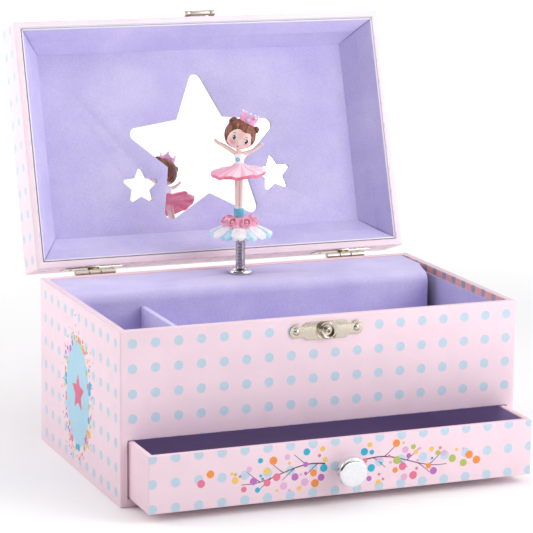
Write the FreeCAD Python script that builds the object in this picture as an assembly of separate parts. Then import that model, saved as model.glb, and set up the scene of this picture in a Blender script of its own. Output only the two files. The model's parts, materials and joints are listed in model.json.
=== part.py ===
"""A paper-covered musical jewellery box: hinged mirror lid, pull-out drawer, dancer on a spring
and a key-wound pinned-cylinder movement.

Frame: millimetres, +Z up, -Y towards the front, origin at the centre of the base's underside.
The lid is modelled shut and then swung open, and the drawer is modelled shut and then pulled out.
"""
import FreeCAD, Part
import math
import os

from FreeCAD import Vector

# ---- driving dimensions -------------------------------------------------------------------
WIDTH, DEPTH, BODY_HEIGHT = 175.0, 110.0, 72.5
WALL = 3.2                      # board and its paper cover
BASE_THICK = 3.4
LID_GAP, LID_HEIGHT, LID_TOP_THICK = 0.5, 20.3, 2.5
LID_OPEN_DEG = 107.8            # opening angle at rest
HINGE_AXIS_Y, HINGE_AXIS_Z = 57.9, 72.7
HINGE_CENTRES_X = (-61.0, 58.5)
DRAWER_OPEN = 23.8              # how far the drawer is pulled out at rest
DRAWER_BOTTOM, DRAWER_TOP = 3.74, 27.3
CEILING_BOTTOM, CEILING_THICK = 27.6, 2.5
CARD = 1.0                      # flocked lining card
PLATFORM_TOP, PLATFORM_FRONT_Y, PLATFORM_CARD, PLATFORM_BEND = 72.0, 14.5, 1.5, 4.5
PLATFORM_FRONT_END_X, PLATFORM_CORNER_Y = 79.3, 32.0      # the right corner is trimmed back to these
LINING_TOP, RIGHT_LINING_BACK_Y = 69.3, 26.0
DIVIDER_X, DIVIDER_THICK, DIVIDER_TOP = -54.0, 2.5, 66.0
PANEL_HALF_X, PANEL_FRONT_Y, PANEL_BACK_Y = 74.0, -43.2, 41.0    # star panel edges
LATCH_X, LATCH_Z = 0.8, 66.6
KNOB_Z = 15.0
SPINDLE_X, SPINDLE_Y = -0.5, 39.0
SPRING_BOTTOM, SPRING_TOP = 73.7, 88.5
SPRING_RADIUS, SPRING_WIRE = 2.45, 0.85
DANCER_TURN_DEG = -28.0         # the way the dancer faces at rest

# ---- derived ------------------------------------------------------------------------------
HALF_X, HALF_Y = WIDTH / 2, DEPTH / 2
INNER_X, INNER_Y = HALF_X - WALL, HALF_Y - WALL
CEILING_TOP = CEILING_BOTTOM + CEILING_THICK
LID_RIM = BODY_HEIGHT + LID_GAP
LID_TOP = LID_RIM + LID_HEIGHT
LID_CEILING = LID_TOP - LID_TOP_THICK
MIRROR_THICK, PANEL_THICK = 1.0, 1.0
PANEL_FACE = LID_CEILING - MIRROR_THICK - PANEL_THICK
DRAWER_HALF_X = INNER_X - 0.5

X, Y, Z = Vector(1, 0, 0), Vector(0, 1, 0), Vector(0, 0, 1)
os.makedirs("parts", exist_ok=True)


# ---- small helpers ------------------------------------------------------------------------
def save(name, shape):
    """Write one sub-part."""
    shape.exportStep("parts/" + name + ".step")


def block(x0, x1, y0, y1, z0, z1):
    return Part.makeBox(x1 - x0, y1 - y0, z1 - z0, Vector(x0, y0, z0))


def rod(radius, start, end):
    """A round bar from one point to another."""
    a, b = Vector(*start), Vector(*end)
    return Part.makeCylinder(radius, (b - a).Length, a, b - a)


def polygon(points):
    """A flat face from its corner points."""
    corners = [Vector(*p) for p in points]
    return Part.Face(Part.makePolygon(corners + corners[:1]))


def prism(points, direction):
    return polygon(points).extrude(Vector(*direction))


def turned(profile, centre, axis=Z):
    """A solid of revolution: profile is (radius, height) pairs, height along the axis."""
    shape = polygon([(r, 0, h) for r, h in profile]).revolve(Vector(0, 0, 0), Z, 360)
    if axis == Y:
        shape.rotate(Vector(0, 0, 0), X, -90)
    shape.translate(Vector(*centre))
    return shape


def joined(shapes):
    return shapes[0].fuse(shapes[1:]).removeSplitter()


def wire_bar(points, radius):
    """A bent round wire through the points, with ball corners."""
    bars = [rod(radius, a, b) for a, b in zip(points, points[1:])]
    balls = [Part.makeSphere(radius, Vector(*p)) for p in points[1:-1]]
    return joined(bars + balls)


def lid_open(shape):
    """Swing a lid piece from shut to its rest position."""
    shape.rotate(Vector(0, HINGE_AXIS_Y, HINGE_AXIS_Z), X, -LID_OPEN_DEG)
    return shape


def drawer_out(shape):
    shape.translate(Vector(0, -DRAWER_OPEN, 0))
    return shape


# ---- nails: each has a domed head and a shank, and its holes fit the shank -----------------
NAIL_HEAD_R, NAIL_HEAD_H, NAIL_R, NAIL_LENGTH = 1.15, 0.5, 0.45, 2.6


def nail(x, face_y, z, outward):
    """A nail whose head lies on the plane y = face_y; outward is -1 or +1 along Y."""
    head = turned([(0, 0), (NAIL_HEAD_R, 0), (NAIL_HEAD_R * 0.75, NAIL_HEAD_H * 0.7), (0, NAIL_HEAD_H)],
                  (0, 0, 0), Y)
    if outward < 0:
        head.rotate(Vector(0, 0, 0), Z, 180)
    head.translate(Vector(x, face_y, z))
    return head.fuse(nail_shank(x, face_y, z, outward))


def nail_shank(x, face_y, z, outward):
    return rod(NAIL_R, (x, face_y, z), (x, face_y - outward * NAIL_LENGTH, z))


# ---- hinge, hasp and latch places, lid shut -------------------------------------------------
LEAF_THICK, LEAF_HALF_X, LEAF_TALL = 0.6, 12.9, 9.5
BARREL_R, HINGE_PIN_R = 1.15, 0.55
KNUCKLE_ENDS = (-9.9, -3.4, 2.0, 8.8)     # from the hinge's centre, along X
BODY_LEAF_TOP, LID_LEAF_BOTTOM = 70.6, 74.8
leaf_nail_x = (-9.5, 0.0, 9.5)
body_leaf_nail_z = BODY_LEAF_TOP - 5.5
lid_leaf_nail_z = LID_LEAF_BOTTOM + 5.5

LATCH_PLATE_THICK, LATCH_EAR_X, LATCH_EAR_Z, LATCH_EAR_R = 0.6, 13.5, 67.5, 3.0
latch_face = -HALF_Y - LATCH_PLATE_THICK
HASP_HALF_X, HASP_AXIS_Z, HASP_KNUCKLE_R, HASP_PIN_R = 7.2, 75.6, 1.2, 0.5
HASP_AXIS_Y = -HALF_Y - 1.9
HASP_KNUCKLE_X, HASP_NAIL_X, HASP_NAIL_Z = 4.5, 5.0, 82.0
TONGUE_THICK, TONGUE_HOLE_R, TONGUE_END_R = 0.8, 3.15, 4.5
STUD_R = 2.75

body_hinge_nail_places = [(cx + dx, HALF_Y + LEAF_THICK, body_leaf_nail_z, 1)
                          for cx in HINGE_CENTRES_X for dx in leaf_nail_x]
lid_hinge_nail_places = [(cx + dx, HALF_Y + LEAF_THICK, lid_leaf_nail_z, 1)
                         for cx in HINGE_CENTRES_X for dx in leaf_nail_x]
latch_nail_places = [(LATCH_X + s * LATCH_EAR_X, latch_face, LATCH_EAR_Z, -1) for s in (-1, 1)]
hasp_nail_places = [(LATCH_X + s * HASP_NAIL_X, latch_face, HASP_NAIL_Z, -1) for s in (-1, 1)]


def without_nails(shape, places):
    return shape.cut([nail_shank(*place) for place in places])


# ---- movement layout ------------------------------------------------------------------------
KEY_X, KEY_Z, ARBOR_R, RUNNING = SPINDLE_X, 46.0, 2.0, 0.05
BED_BOTTOM, BED_THICK = CEILING_TOP, 1.5
BED_TOP = BED_BOTTOM + BED_THICK
PLATE_FRONT_Y, PLATE_BACK_Y, PLATE_THICK, PLATE_TOP = 17.5, 48.7, 1.3, 66.0
GREAT_TEETH, PINION_TEETH, GREAT_MODULE = 26, 12, 1.0
CONTRATE_TEETH = 15
DRIVE_TEETH, IDLER_TEETH, DRIVE_MODULE = 24, 12, 0.8
WORM_TEETH, WORM_MODULE, WORM_PITCH_R = 20, 0.6, 1.9
DRUM_R, DRUM_PIN_OUT, DRUM_Y0, DRUM_Y1 = 6.3, 0.55, 22.5, 43.5
contrate_r = CONTRATE_TEETH * GREAT_MODULE / 2
GEAR_WIDTH = 2.0
great_y0 = SPINDLE_Y + contrate_r - GEAR_WIDTH / 2
great_y1 = great_y0 + GEAR_WIDTH
DRUM_Z = 43.0
drum_distance = (GREAT_TEETH + PINION_TEETH) * GREAT_MODULE / 2
DRUM_X = KEY_X - math.sqrt(drum_distance ** 2 - (KEY_Z - DRUM_Z) ** 2)
IDLER_ANGLE_DEG = 115.0
idler_distance = (DRIVE_TEETH + IDLER_TEETH) * DRIVE_MODULE / 2
IDLER_X = DRUM_X + idler_distance * math.cos(math.radians(IDLER_ANGLE_DEG))
IDLER_Z = DRUM_Z + idler_distance * math.sin(math.radians(IDLER_ANGLE_DEG))
DRIVE_Y0, DRIVE_Y1 = 20.0, 21.5
WORM_WHEEL_Y0, WORM_WHEEL_Y1 = 23.6, 24.8
worm_y = (WORM_WHEEL_Y0 + WORM_WHEEL_Y1) / 2
worm_x = IDLER_X - WORM_TEETH * WORM_MODULE / 2 - WORM_PITCH_R
STOP_X, STOP_Y, STOP_R, STOP_ARM_Z, STOP_TOP = 4.4, 51.0, 0.5, 64.5, 74.2


# ---- case: boards ---------------------------------------------------------------------------
def case_boards():
    save("base_board", block(-INNER_X, INNER_X, -HALF_Y, INNER_Y, 0, BASE_THICK))
    save("left_side_board", block(-HALF_X, -INNER_X, -HALF_Y, HALF_Y, 0, BODY_HEIGHT))
    save("right_side_board", block(INNER_X, HALF_X, -HALF_Y, HALF_Y, 0, BODY_HEIGHT))
    front = block(-INNER_X, INNER_X, -HALF_Y, -INNER_Y, CEILING_BOTTOM, BODY_HEIGHT)
    front = front.cut(rod(1.5, (LATCH_X, -HALF_Y, LATCH_Z), (LATCH_X, -INNER_Y, LATCH_Z)))
    save("front_board", without_nails(front, latch_nail_places))
    back = block(-INNER_X, INNER_X, INNER_Y, HALF_Y, 0, BODY_HEIGHT)
    back = back.cut(rod(3.0, (KEY_X, INNER_Y, KEY_Z), (KEY_X, HALF_Y, KEY_Z)))
    save("back_board", without_nails(back, body_hinge_nail_places))
    ceiling = block(-INNER_X, INNER_X, -INNER_Y, INNER_Y, CEILING_BOTTOM, CEILING_TOP)
    ceiling = ceiling.cut([rod(0.8, (x, y, CEILING_BOTTOM), (x, y, CEILING_TOP))
                           for x, y in bed_screw_places])
    save("drawer_ceiling_board", ceiling)


# ---- case: flocked tray ---------------------------------------------------------------------
def tray():
    pad_top = CEILING_TOP + CARD
    save("tray_floor_pad", block(-INNER_X, INNER_X, -INNER_Y, PLATFORM_FRONT_Y, CEILING_TOP, pad_top))
    linings = [block(-INNER_X, INNER_X, -INNER_Y, CARD - INNER_Y, pad_top, LINING_TOP)]
    linings += [block(x0, x0 + CARD, CARD - INNER_Y, back_y, pad_top, LINING_TOP)
                for x0, back_y in ((-INNER_X, PLATFORM_FRONT_Y), (INNER_X - CARD, RIGHT_LINING_BACK_Y))]
    save("tray_wall_linings", Part.makeCompound(linings))
    half = DIVIDER_THICK / 2
    divider = block(DIVIDER_X - half, DIVIDER_X + half, CARD - INNER_Y, PLATFORM_FRONT_Y, pad_top, DIVIDER_TOP)
    save("tray_divider", divider)


def platform_corner(x1):
    """What is trimmed off the platform's front right corner: straight in front, then curving out to the end."""
    front, back = Vector(PLATFORM_FRONT_END_X, 0, 0), Vector(x1, PLATFORM_CORNER_Y, 0)
    turn = Vector(PLATFORM_FRONT_END_X, PLATFORM_FRONT_Y + PLATFORM_BEND, 0)
    middle = Vector((turn.x + back.x) / 2 - 0.35, (turn.y + back.y) / 2 - 0.35, 0)
    far_back, far_front = Vector(HALF_X, PLATFORM_CORNER_Y, 0), Vector(HALF_X, 0, 0)
    line = Part.makeLine
    outline = Part.Wire([line(front, turn), Part.Arc(turn, middle, back).toShape(), line(back, far_back),
                         line(far_back, far_front), line(far_front, front)])
    return Part.Face(outline).extrude(Vector(0, 0, PLATFORM_TOP + 1))


def platform():
    """The flocked card that hides the movement: a front face bent over into a level top."""
    x0, x1 = -INNER_X + 0.2, INNER_X - 0.8
    inner_bend = PLATFORM_BEND - PLATFORM_CARD
    bend_y, bend_z = PLATFORM_FRONT_Y + PLATFORM_BEND, PLATFORM_TOP - PLATFORM_BEND
    diagonal = math.sqrt(0.5)

    def at(y, z):
        return Vector(x0, y, z)

    def corner(radius):
        return Part.Arc(at(bend_y - radius, bend_z),
                        at(bend_y - radius * diagonal, bend_z + radius * diagonal),
                        at(bend_y, bend_z + radius)).toShape()

    foot = CEILING_TOP
    line = Part.makeLine
    outline = Part.Wire([
        line(at(PLATFORM_FRONT_Y, foot), at(PLATFORM_FRONT_Y, bend_z)),
        corner(PLATFORM_BEND),
        line(at(bend_y, PLATFORM_TOP), at(INNER_Y, PLATFORM_TOP)),
        line(at(INNER_Y, PLATFORM_TOP), at(INNER_Y, PLATFORM_TOP - PLATFORM_CARD)),
        line(at(INNER_Y, PLATFORM_TOP - PLATFORM_CARD), at(bend_y, PLATFORM_TOP - PLATFORM_CARD)),
        corner(inner_bend),
        line(at(PLATFORM_FRONT_Y + PLATFORM_CARD, bend_z), at(PLATFORM_FRONT_Y + PLATFORM_CARD, foot)),
        line(at(PLATFORM_FRONT_Y + PLATFORM_CARD, foot), at(PLATFORM_FRONT_Y, foot))])
    cover = Part.Face(outline).extrude(Vector(x1 - x0, 0, 0))
    spindle_hole = rod(2.6, (SPINDLE_X, SPINDLE_Y, 60), (SPINDLE_X, SPINDLE_Y, 80))
    slot = block(STOP_X - 0.9, STOP_X + 0.9, STOP_Y - 0.9, INNER_Y + 1, 60, 80)
    save("movement_cover", cover.cut([spindle_hole, slot, platform_corner(x1)]))


# ---- lid ------------------------------------------------------------------------------------
def lid_boards():
    z0, z1 = LID_RIM, LID_CEILING
    save("lid_top_board", lid_open(block(-HALF_X, HALF_X, -HALF_Y, HALF_Y, z1, LID_TOP)))
    save("lid_left_board", lid_open(block(-HALF_X, -INNER_X, -HALF_Y, HALF_Y, z0, z1)))
    save("lid_right_board", lid_open(block(INNER_X, HALF_X, -HALF_Y, HALF_Y, z0, z1)))
    front = without_nails(block(-INNER_X, INNER_X, -HALF_Y, -INNER_Y, z0, z1), hasp_nail_places)
    save("lid_front_board", lid_open(front))
    back = without_nails(block(-INNER_X, INNER_X, INNER_Y, HALF_Y, z0, z1), lid_hinge_nail_places)
    save("lid_back_board", lid_open(back))


def lid_lining():
    """Four flocked cards that slope from the lid's rim to the star panel, mitred at the corners."""
    rim = [(-INNER_X, -INNER_Y), (INNER_X, -INNER_Y), (INNER_X, INNER_Y), (-INNER_X, INNER_Y)]
    deep = [(-PANEL_HALF_X, PANEL_FRONT_Y), (PANEL_HALF_X, PANEL_FRONT_Y),
            (PANEL_HALF_X, PANEL_BACK_Y), (-PANEL_HALF_X, PANEL_BACK_Y)]

    def inset(points, amount):
        return [(x - math.copysign(amount, x), y - math.copysign(amount, y)) for x, y in points]

    def ring(z, points):
        return [Vector(x, y, z) for x, y in points]

    z0, z1 = LID_RIM + 0.2, PANEL_FACE
    outer = (ring(z0, rim), ring(z1, inset(deep, -CARD)))
    inner = (ring(z0, inset(rim, CARD)), ring(z1, deep))
    cards = []
    for i in range(4):
        j = (i + 1) % 4
        ends = [[out[i], out[j], inn[j], inn[i]] for out, inn in zip(outer, inner)]
        cards.append(Part.makeLoft([Part.makePolygon(end + end[:1]) for end in ends], True, True))
    save("lid_lining", lid_open(Part.makeCompound(cards)))


def star(cx, cy, tip_r, notch_r, turn_deg, round_r):
    """A five-point star outline with rounded tips, as a cutter through the star panel."""
    points = []
    for k in range(10):
        radius = tip_r if k % 2 == 0 else notch_r
        angle = math.radians(turn_deg + 36 * k)
        points.append((cx + radius * math.sin(angle), cy - radius * math.cos(angle), PANEL_FACE - 1))
    solid = prism(points, (0, 0, PANEL_THICK + 2))
    tips = [e for e in solid.Edges if abs(e.Vertexes[0].Z - e.Vertexes[-1].Z) > PANEL_THICK
            and math.hypot(e.Vertexes[0].X - cx, e.Vertexes[0].Y - cy) > (tip_r + notch_r) / 2]
    return solid.makeFillet(round_r, tips)


def mirror_and_star_panel():
    x, y0, y1 = PANEL_HALF_X + CARD, PANEL_FRONT_Y - CARD, PANEL_BACK_Y + CARD
    panel = block(-x, x, y0, y1, PANEL_FACE, PANEL_FACE + PANEL_THICK)
    cutters = [star(1.0, 4.5, 40.5, 19.3, -1.5, 3.2),
               star(-31.0, 18.9, 9.9, 4.7, 2.0, 1.1),
               star(33.8, 16.3, 9.9, 4.7, -5.0, 1.1)]
    save("star_panel", lid_open(panel.cut(cutters)))
    mirror = block(-x, x, y0, y1, PANEL_FACE + PANEL_THICK, LID_CEILING)
    save("lid_mirror", lid_open(mirror))


# ---- hinges -----------------------------------------------------------------------------------
def hinge_leaf(cx, side):
    """One leaf with its knuckles; side -1 lies on the case below the axis, +1 on the lid above."""
    if side < 0:
        z0, z1 = BODY_LEAF_TOP - LEAF_TALL, BODY_LEAF_TOP
        spans = [KNUCKLE_ENDS[0:2], KNUCKLE_ENDS[2:4]]
        bore = HINGE_PIN_R + RUNNING
    else:
        z0, z1 = LID_LEAF_BOTTOM, LID_LEAF_BOTTOM + LEAF_TALL
        spans = [KNUCKLE_ENDS[1:3]]
        bore = HINGE_PIN_R
    leaf = block(cx - LEAF_HALF_X, cx + LEAF_HALF_X, HALF_Y, HALF_Y + LEAF_THICK, z0, z1)
    near = z1 if side < 0 else z0
    solids = [leaf]
    for a, b in spans:
        xa, xb = cx + a + 0.1, cx + b - 0.1
        ends = [(xa, HALF_Y, near + side * 0.8), (xa, HALF_Y + LEAF_THICK, near + side * 0.8),
                (xa, HINGE_AXIS_Y + 0.5, HINGE_AXIS_Z + side * 0.85),
                (xa, HINGE_AXIS_Y - 0.6, HINGE_AXIS_Z), (xa, HALF_Y, near)]
        solids.append(prism(ends, (xb - xa, 0, 0)))
        solids.append(rod(BARREL_R, (xa, HINGE_AXIS_Y, HINGE_AXIS_Z), (xb, HINGE_AXIS_Y, HINGE_AXIS_Z)))
    hole = rod(bore, (cx - 20, HINGE_AXIS_Y, HINGE_AXIS_Z), (cx + 20, HINGE_AXIS_Y, HINGE_AXIS_Z))
    return joined(solids).cut(hole)


def hinges():
    body = Part.makeCompound([hinge_leaf(cx, -1) for cx in HINGE_CENTRES_X])
    save("hinge_body_leaves", without_nails(body, body_hinge_nail_places))
    lid = Part.makeCompound([hinge_leaf(cx, 1) for cx in HINGE_CENTRES_X])
    save("hinge_lid_leaves", lid_open(without_nails(lid, lid_hinge_nail_places)))
    pins = [rod(HINGE_PIN_R, (cx + KNUCKLE_ENDS[0], HINGE_AXIS_Y, HINGE_AXIS_Z),
                (cx + KNUCKLE_ENDS[3], HINGE_AXIS_Y, HINGE_AXIS_Z)) for cx in HINGE_CENTRES_X]
    pins.append(rod(HASP_PIN_R, (LATCH_X - HASP_HALF_X, HASP_AXIS_Y, HASP_AXIS_Z),
                    (LATCH_X + HASP_HALF_X, HASP_AXIS_Y, HASP_AXIS_Z)))
    save("hinge_and_hasp_pins", lid_open(Part.makeCompound(pins)))
    case_places = body_hinge_nail_places + latch_nail_places
    save("case_nails", Part.makeCompound([nail(*place) for place in case_places]))
    lid_places = lid_hinge_nail_places + hasp_nail_places
    save("lid_nails", lid_open(Part.makeCompound([nail(*place) for place in lid_places])))


# ---- latch and hasp ---------------------------------------------------------------------------
def latch():
    y0, y1 = latch_face, -HALF_Y
    plate = [block(LATCH_X - 9.3, LATCH_X + 9.3, y0, y1, 62.9, 69.9),
             block(LATCH_X - LATCH_EAR_X, LATCH_X + LATCH_EAR_X, y0, y1, LATCH_EAR_Z - 1.6, LATCH_EAR_Z + 1.6)]
    plate += [rod(LATCH_EAR_R, (LATCH_X + s * LATCH_EAR_X, y0, LATCH_EAR_Z),
                  (LATCH_X + s * LATCH_EAR_X, y1, LATCH_EAR_Z)) for s in (-1, 1)]
    shank = rod(1.5, (LATCH_X, y0, LATCH_Z), (LATCH_X, -INNER_Y, LATCH_Z))
    save("latch_plate", without_nails(joined(plate).cut(shank), latch_nail_places))
    stud = turned([(0, 0), (4.6, 0), (4.6, 0.35), (4.2, 0.6), (STUD_R, 0.6), (STUD_R, 2.1), (2.45, 2.4),
                   (1.9, 2.4), (1.6, 1.2), (0, 1.2)], (0, 0, 0), Y)
    stud.rotate(Vector(0, 0, 0), Z, 180)
    stud.translate(Vector(LATCH_X, latch_face, LATCH_Z))
    save("latch_stud", joined([stud, shank]))


def hasp():
    """Bracket on the lid's front face, and a holed tongue that folds down over the latch stud."""
    def along_axis(radius, x0, x1):
        return rod(radius, (x0, HASP_AXIS_Y, HASP_AXIS_Z), (x1, HASP_AXIS_Y, HASP_AXIS_Z))

    plate = block(LATCH_X - HASP_HALF_X, LATCH_X + HASP_HALF_X, latch_face, -HALF_Y, HASP_AXIS_Z + 2.0, 85.0)
    bracket = [plate]
    for x0, x1 in ((LATCH_X - HASP_HALF_X, LATCH_X - HASP_KNUCKLE_X - 0.3),
                   (LATCH_X + HASP_KNUCKLE_X + 0.3, LATCH_X + HASP_HALF_X)):
        link = prism([(x0, -HALF_Y, HASP_AXIS_Z + 2.4), (x0, latch_face, HASP_AXIS_Z + 2.4),
                      (x0, HASP_AXIS_Y, HASP_AXIS_Z + HASP_KNUCKLE_R * 0.95),
                      (x0, HASP_AXIS_Y + HASP_KNUCKLE_R * 0.9, HASP_AXIS_Z),
                      (x0, -HALF_Y, HASP_AXIS_Z + 1.2)], (x1 - x0, 0, 0))
        bracket.append(link.fuse(along_axis(HASP_KNUCKLE_R, x0, x1)).cut(along_axis(HASP_PIN_R, x0, x1)))
    save("hasp_bracket", lid_open(without_nails(joined(bracket), hasp_nail_places)))

    y0, y1 = HASP_AXIS_Y - TONGUE_THICK / 2, HASP_AXIS_Y + TONGUE_THICK / 2
    x0, x1 = LATCH_X - HASP_KNUCKLE_X, LATCH_X + HASP_KNUCKLE_X
    tongue = joined([block(x0, x1, y0, y1, LATCH_Z, HASP_AXIS_Z),
                     rod(TONGUE_END_R, (LATCH_X, y0, LATCH_Z), (LATCH_X, y1, LATCH_Z)),
                     along_axis(HASP_KNUCKLE_R, x0, x1)])
    tongue = tongue.cut([rod(TONGUE_HOLE_R, (LATCH_X, y0, LATCH_Z), (LATCH_X, y1, LATCH_Z)),
                         along_axis(HASP_PIN_R + RUNNING, x0, x1)])
    tongue.rotate(Vector(0, HASP_AXIS_Y, HASP_AXIS_Z), X, 180)
    save("hasp_tongue", lid_open(tongue))


# ---- drawer -----------------------------------------------------------------------------------
DRAWER_WALL, DRAWER_FRONT_THICK, DRAWER_FLOOR, DRAWER_BACK_Y = 2.5, 3.0, 2.0, 48.0


def drawer():
    x, z0, z1 = DRAWER_HALF_X, DRAWER_BOTTOM, DRAWER_TOP
    front_y, back_y = -HALF_Y, -HALF_Y + DRAWER_FRONT_THICK
    inner = x - DRAWER_WALL
    front = block(-x, x, front_y, back_y, z0, z1).cut(rod(1.5, (0, front_y, KNOB_Z), (0, back_y, KNOB_Z)))
    save("drawer_front", drawer_out(front))
    sides = [block(x0, x0 + DRAWER_WALL, back_y, DRAWER_BACK_Y, z0, z1) for x0 in (-x, inner)]
    save("drawer_sides", drawer_out(Part.makeCompound(sides)))
    save("drawer_back", drawer_out(block(-inner, inner, DRAWER_BACK_Y - DRAWER_WALL, DRAWER_BACK_Y, z0, z1)))
    inside_back = DRAWER_BACK_Y - DRAWER_WALL
    save("drawer_bottom", drawer_out(block(-inner, inner, back_y, inside_back, z0, z0 + DRAWER_FLOOR)))
    pad = block(-inner, inner, back_y, inside_back, z0 + DRAWER_FLOOR, z0 + DRAWER_FLOOR + 0.8)
    save("drawer_floor_pad", drawer_out(pad))
    knob = turned([(0, 0), (3.6, 0), (3.0, 1.0), (2.8, 2.6), (5.0, 3.8), (6.25, 5.4), (6.25, 6.4),
                   (5.35, 8.6), (4.9, 9.0), (0, 9.0)], (0, 0, 0), Y)
    knob.rotate(Vector(0, 0, 0), Z, 180)
    knob.translate(Vector(0, front_y, KNOB_Z))
    socket = rod(1.5, (0, front_y - 5.0, KNOB_Z), (0, front_y, KNOB_Z))
    save("drawer_knob", drawer_out(knob.cut(socket)))
    screw = joined([rod(1.5, (0, front_y - 5.0, KNOB_Z), (0, back_y, KNOB_Z)),
                    rod(3.2, (0, back_y, KNOB_Z), (0, back_y + 1.2, KNOB_Z))])
    screw = screw.cut(block(-3.5, 3.5, back_y + 0.6, back_y + 2, KNOB_Z - 0.4, KNOB_Z + 0.4))
    save("knob_screw", drawer_out(screw))


# ---- gears --------------------------------------------------------------------------------------
TOOTH_FILL = 0.35               # tooth width over circular pitch, thin so that the train runs freely


def gear_face(teeth, module, phase_deg):
    """A spur gear outline in the XY plane; phase is the angle of one tooth's centre."""
    pitch_r = teeth * module / 2
    tip_r, root_r = pitch_r + 0.85 * module, pitch_r - 1.15 * module
    half = TOOTH_FILL * math.pi / teeth
    points = []
    for k in range(teeth):
        centre = math.radians(phase_deg) + 2 * math.pi * k / teeth
        for radius, spread in ((root_r, -1.25), (tip_r, -0.6), (tip_r, 0.6), (root_r, 1.25)):
            angle = centre + spread * half
            points.append((radius * math.cos(angle), radius * math.sin(angle), 0))
    return polygon(points)


def spur_gear(teeth, module, phase_deg, centre_x, centre_z, y0, y1, bore):
    """A spur gear whose axis lies along Y; angles are measured from +X towards +Z."""
    gear = gear_face(teeth, module, phase_deg).extrude(Vector(0, 0, y1 - y0))
    gear.rotate(Vector(0, 0, 0), X, 90)
    gear.translate(Vector(centre_x, y1, centre_z))
    return gear.cut(rod(bore, (centre_x, y0, centre_z), (centre_x, y1, centre_z)))


def mesh_phase(wheel_phase, wheel_teeth, pinion_teeth, direction_deg):
    """The pinion phase that puts a gap where the wheel has a tooth, on the line of centres."""
    offset = (wheel_phase - direction_deg) * wheel_teeth + 180.0
    return direction_deg + 180.0 - offset / pinion_teeth


great_phase = 90.0 + 180.0 / GREAT_TEETH
to_drum_deg = math.degrees(math.atan2(DRUM_Z - KEY_Z, DRUM_X - KEY_X))
pinion_phase = mesh_phase(great_phase, GREAT_TEETH, PINION_TEETH, to_drum_deg)
drive_phase = IDLER_ANGLE_DEG
idler_phase = mesh_phase(drive_phase, DRIVE_TEETH, IDLER_TEETH, IDLER_ANGLE_DEG)
plate_front_y1, plate_back_y1 = PLATE_FRONT_Y + PLATE_THICK, PLATE_BACK_Y + PLATE_THICK


# ---- movement: frame ----------------------------------------------------------------------------
BED_X0, BED_X1 = -44.0, 14.0
bed_screw_places = [(-39.5, 20.8), (-39.5, 47.0), (10.5, 20.8), (10.5, 46.4)]
FOOT_THICK, FOOT_DEEP = 1.2, 4.0
COMB_Z0, COMB_THICK, COMB_X0, COMB_Y0, COMB_Y1, COMB_TEETH = 42.5, 1.0, -42.0, 23.0, 43.0, 18
comb_tip_x = DRUM_X - DRUM_R - DRUM_PIN_OUT - 0.4
comb_screw_places = [(-39.6, 28.0), (-39.6, 38.0)]
COMB_BLOCK_X1 = -37.0


def screw(x, y, z, length):
    """A cheese-head screw standing on z, with a slot across its head."""
    body = joined([rod(1.6, (x, y, z), (x, y, z + 1.0)), rod(0.8, (x, y, z - length), (x, y, z))])
    return body.cut(block(x - 2, x + 2, y - 0.25, y + 0.25, z + 0.5, z + 2))


def movement_frame():
    bed = joined([block(BED_X0, BED_X1, PLATE_FRONT_Y, plate_back_y1, BED_BOTTOM, BED_TOP),
                  block(COMB_X0, COMB_BLOCK_X1, COMB_Y0, COMB_Y1, BED_TOP, COMB_Z0)])
    bed = bed.cut([rod(0.8, (x, y, BED_BOTTOM), (x, y, BED_TOP)) for x, y in bed_screw_places])
    bed = bed.cut([rod(0.8, (x, y, COMB_Z0 - 4), (x, y, COMB_Z0)) for x, y in comb_screw_places])
    save("movement_bedplate", bed)

    bores = [(KEY_X, KEY_Z, ARBOR_R + RUNNING), (DRUM_X, DRUM_Z, 1.2 + RUNNING),
             (IDLER_X, IDLER_Z, 1.0 + RUNNING)]

    def end_plate(x0, y0, foot_y0, feet_x):
        solids = [block(x0, BED_X1, y0, y0 + PLATE_THICK, BED_TOP, PLATE_TOP)]
        solids += [block(a, b, foot_y0, foot_y0 + FOOT_DEEP, BED_TOP, BED_TOP + FOOT_THICK) for a, b in feet_x]
        plate = joined(solids)
        plate = plate.cut([rod(r, (x, y0, z), (x, y0 + PLATE_THICK, z)) for x, z, r in bores])
        return plate.cut([rod(0.8, (x, y, BED_TOP), (x, y, BED_TOP + FOOT_THICK)) for x, y in bed_screw_places])

    feet = [(-42.0, -37.5), (7.5, 13.0)]
    front_plate = end_plate(BED_X0, PLATE_FRONT_Y, plate_front_y1, feet)
    back_plate = end_plate(-30.0, PLATE_BACK_Y, PLATE_BACK_Y - FOOT_DEEP, feet[1:])
    save("bearing_plates", Part.makeCompound([front_plate, back_plate]))
    top = block(-12.0, 11.0, PLATE_FRONT_Y, INNER_Y - 0.2, PLATE_TOP, PLATE_TOP + PLATE_THICK)
    top = top.cut([rod(1.5 + RUNNING, (SPINDLE_X, SPINDLE_Y, 60), (SPINDLE_X, SPINDLE_Y, 70)),
                   rod(STOP_R + RUNNING, (STOP_X, STOP_Y, 60), (STOP_X, STOP_Y, 70))])
    save("spindle_plate", top)

    screws = [screw(x, y, BED_TOP + FOOT_THICK, 4.4) for x, y in bed_screw_places[:1] + bed_screw_places[2:]]
    screws.append(screw(*bed_screw_places[1], BED_TOP, 3.2))
    screws += [screw(x, y, COMB_Z0 + COMB_THICK, 5.0) for x, y in comb_screw_places]
    save("movement_screws", Part.makeCompound(screws))


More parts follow.
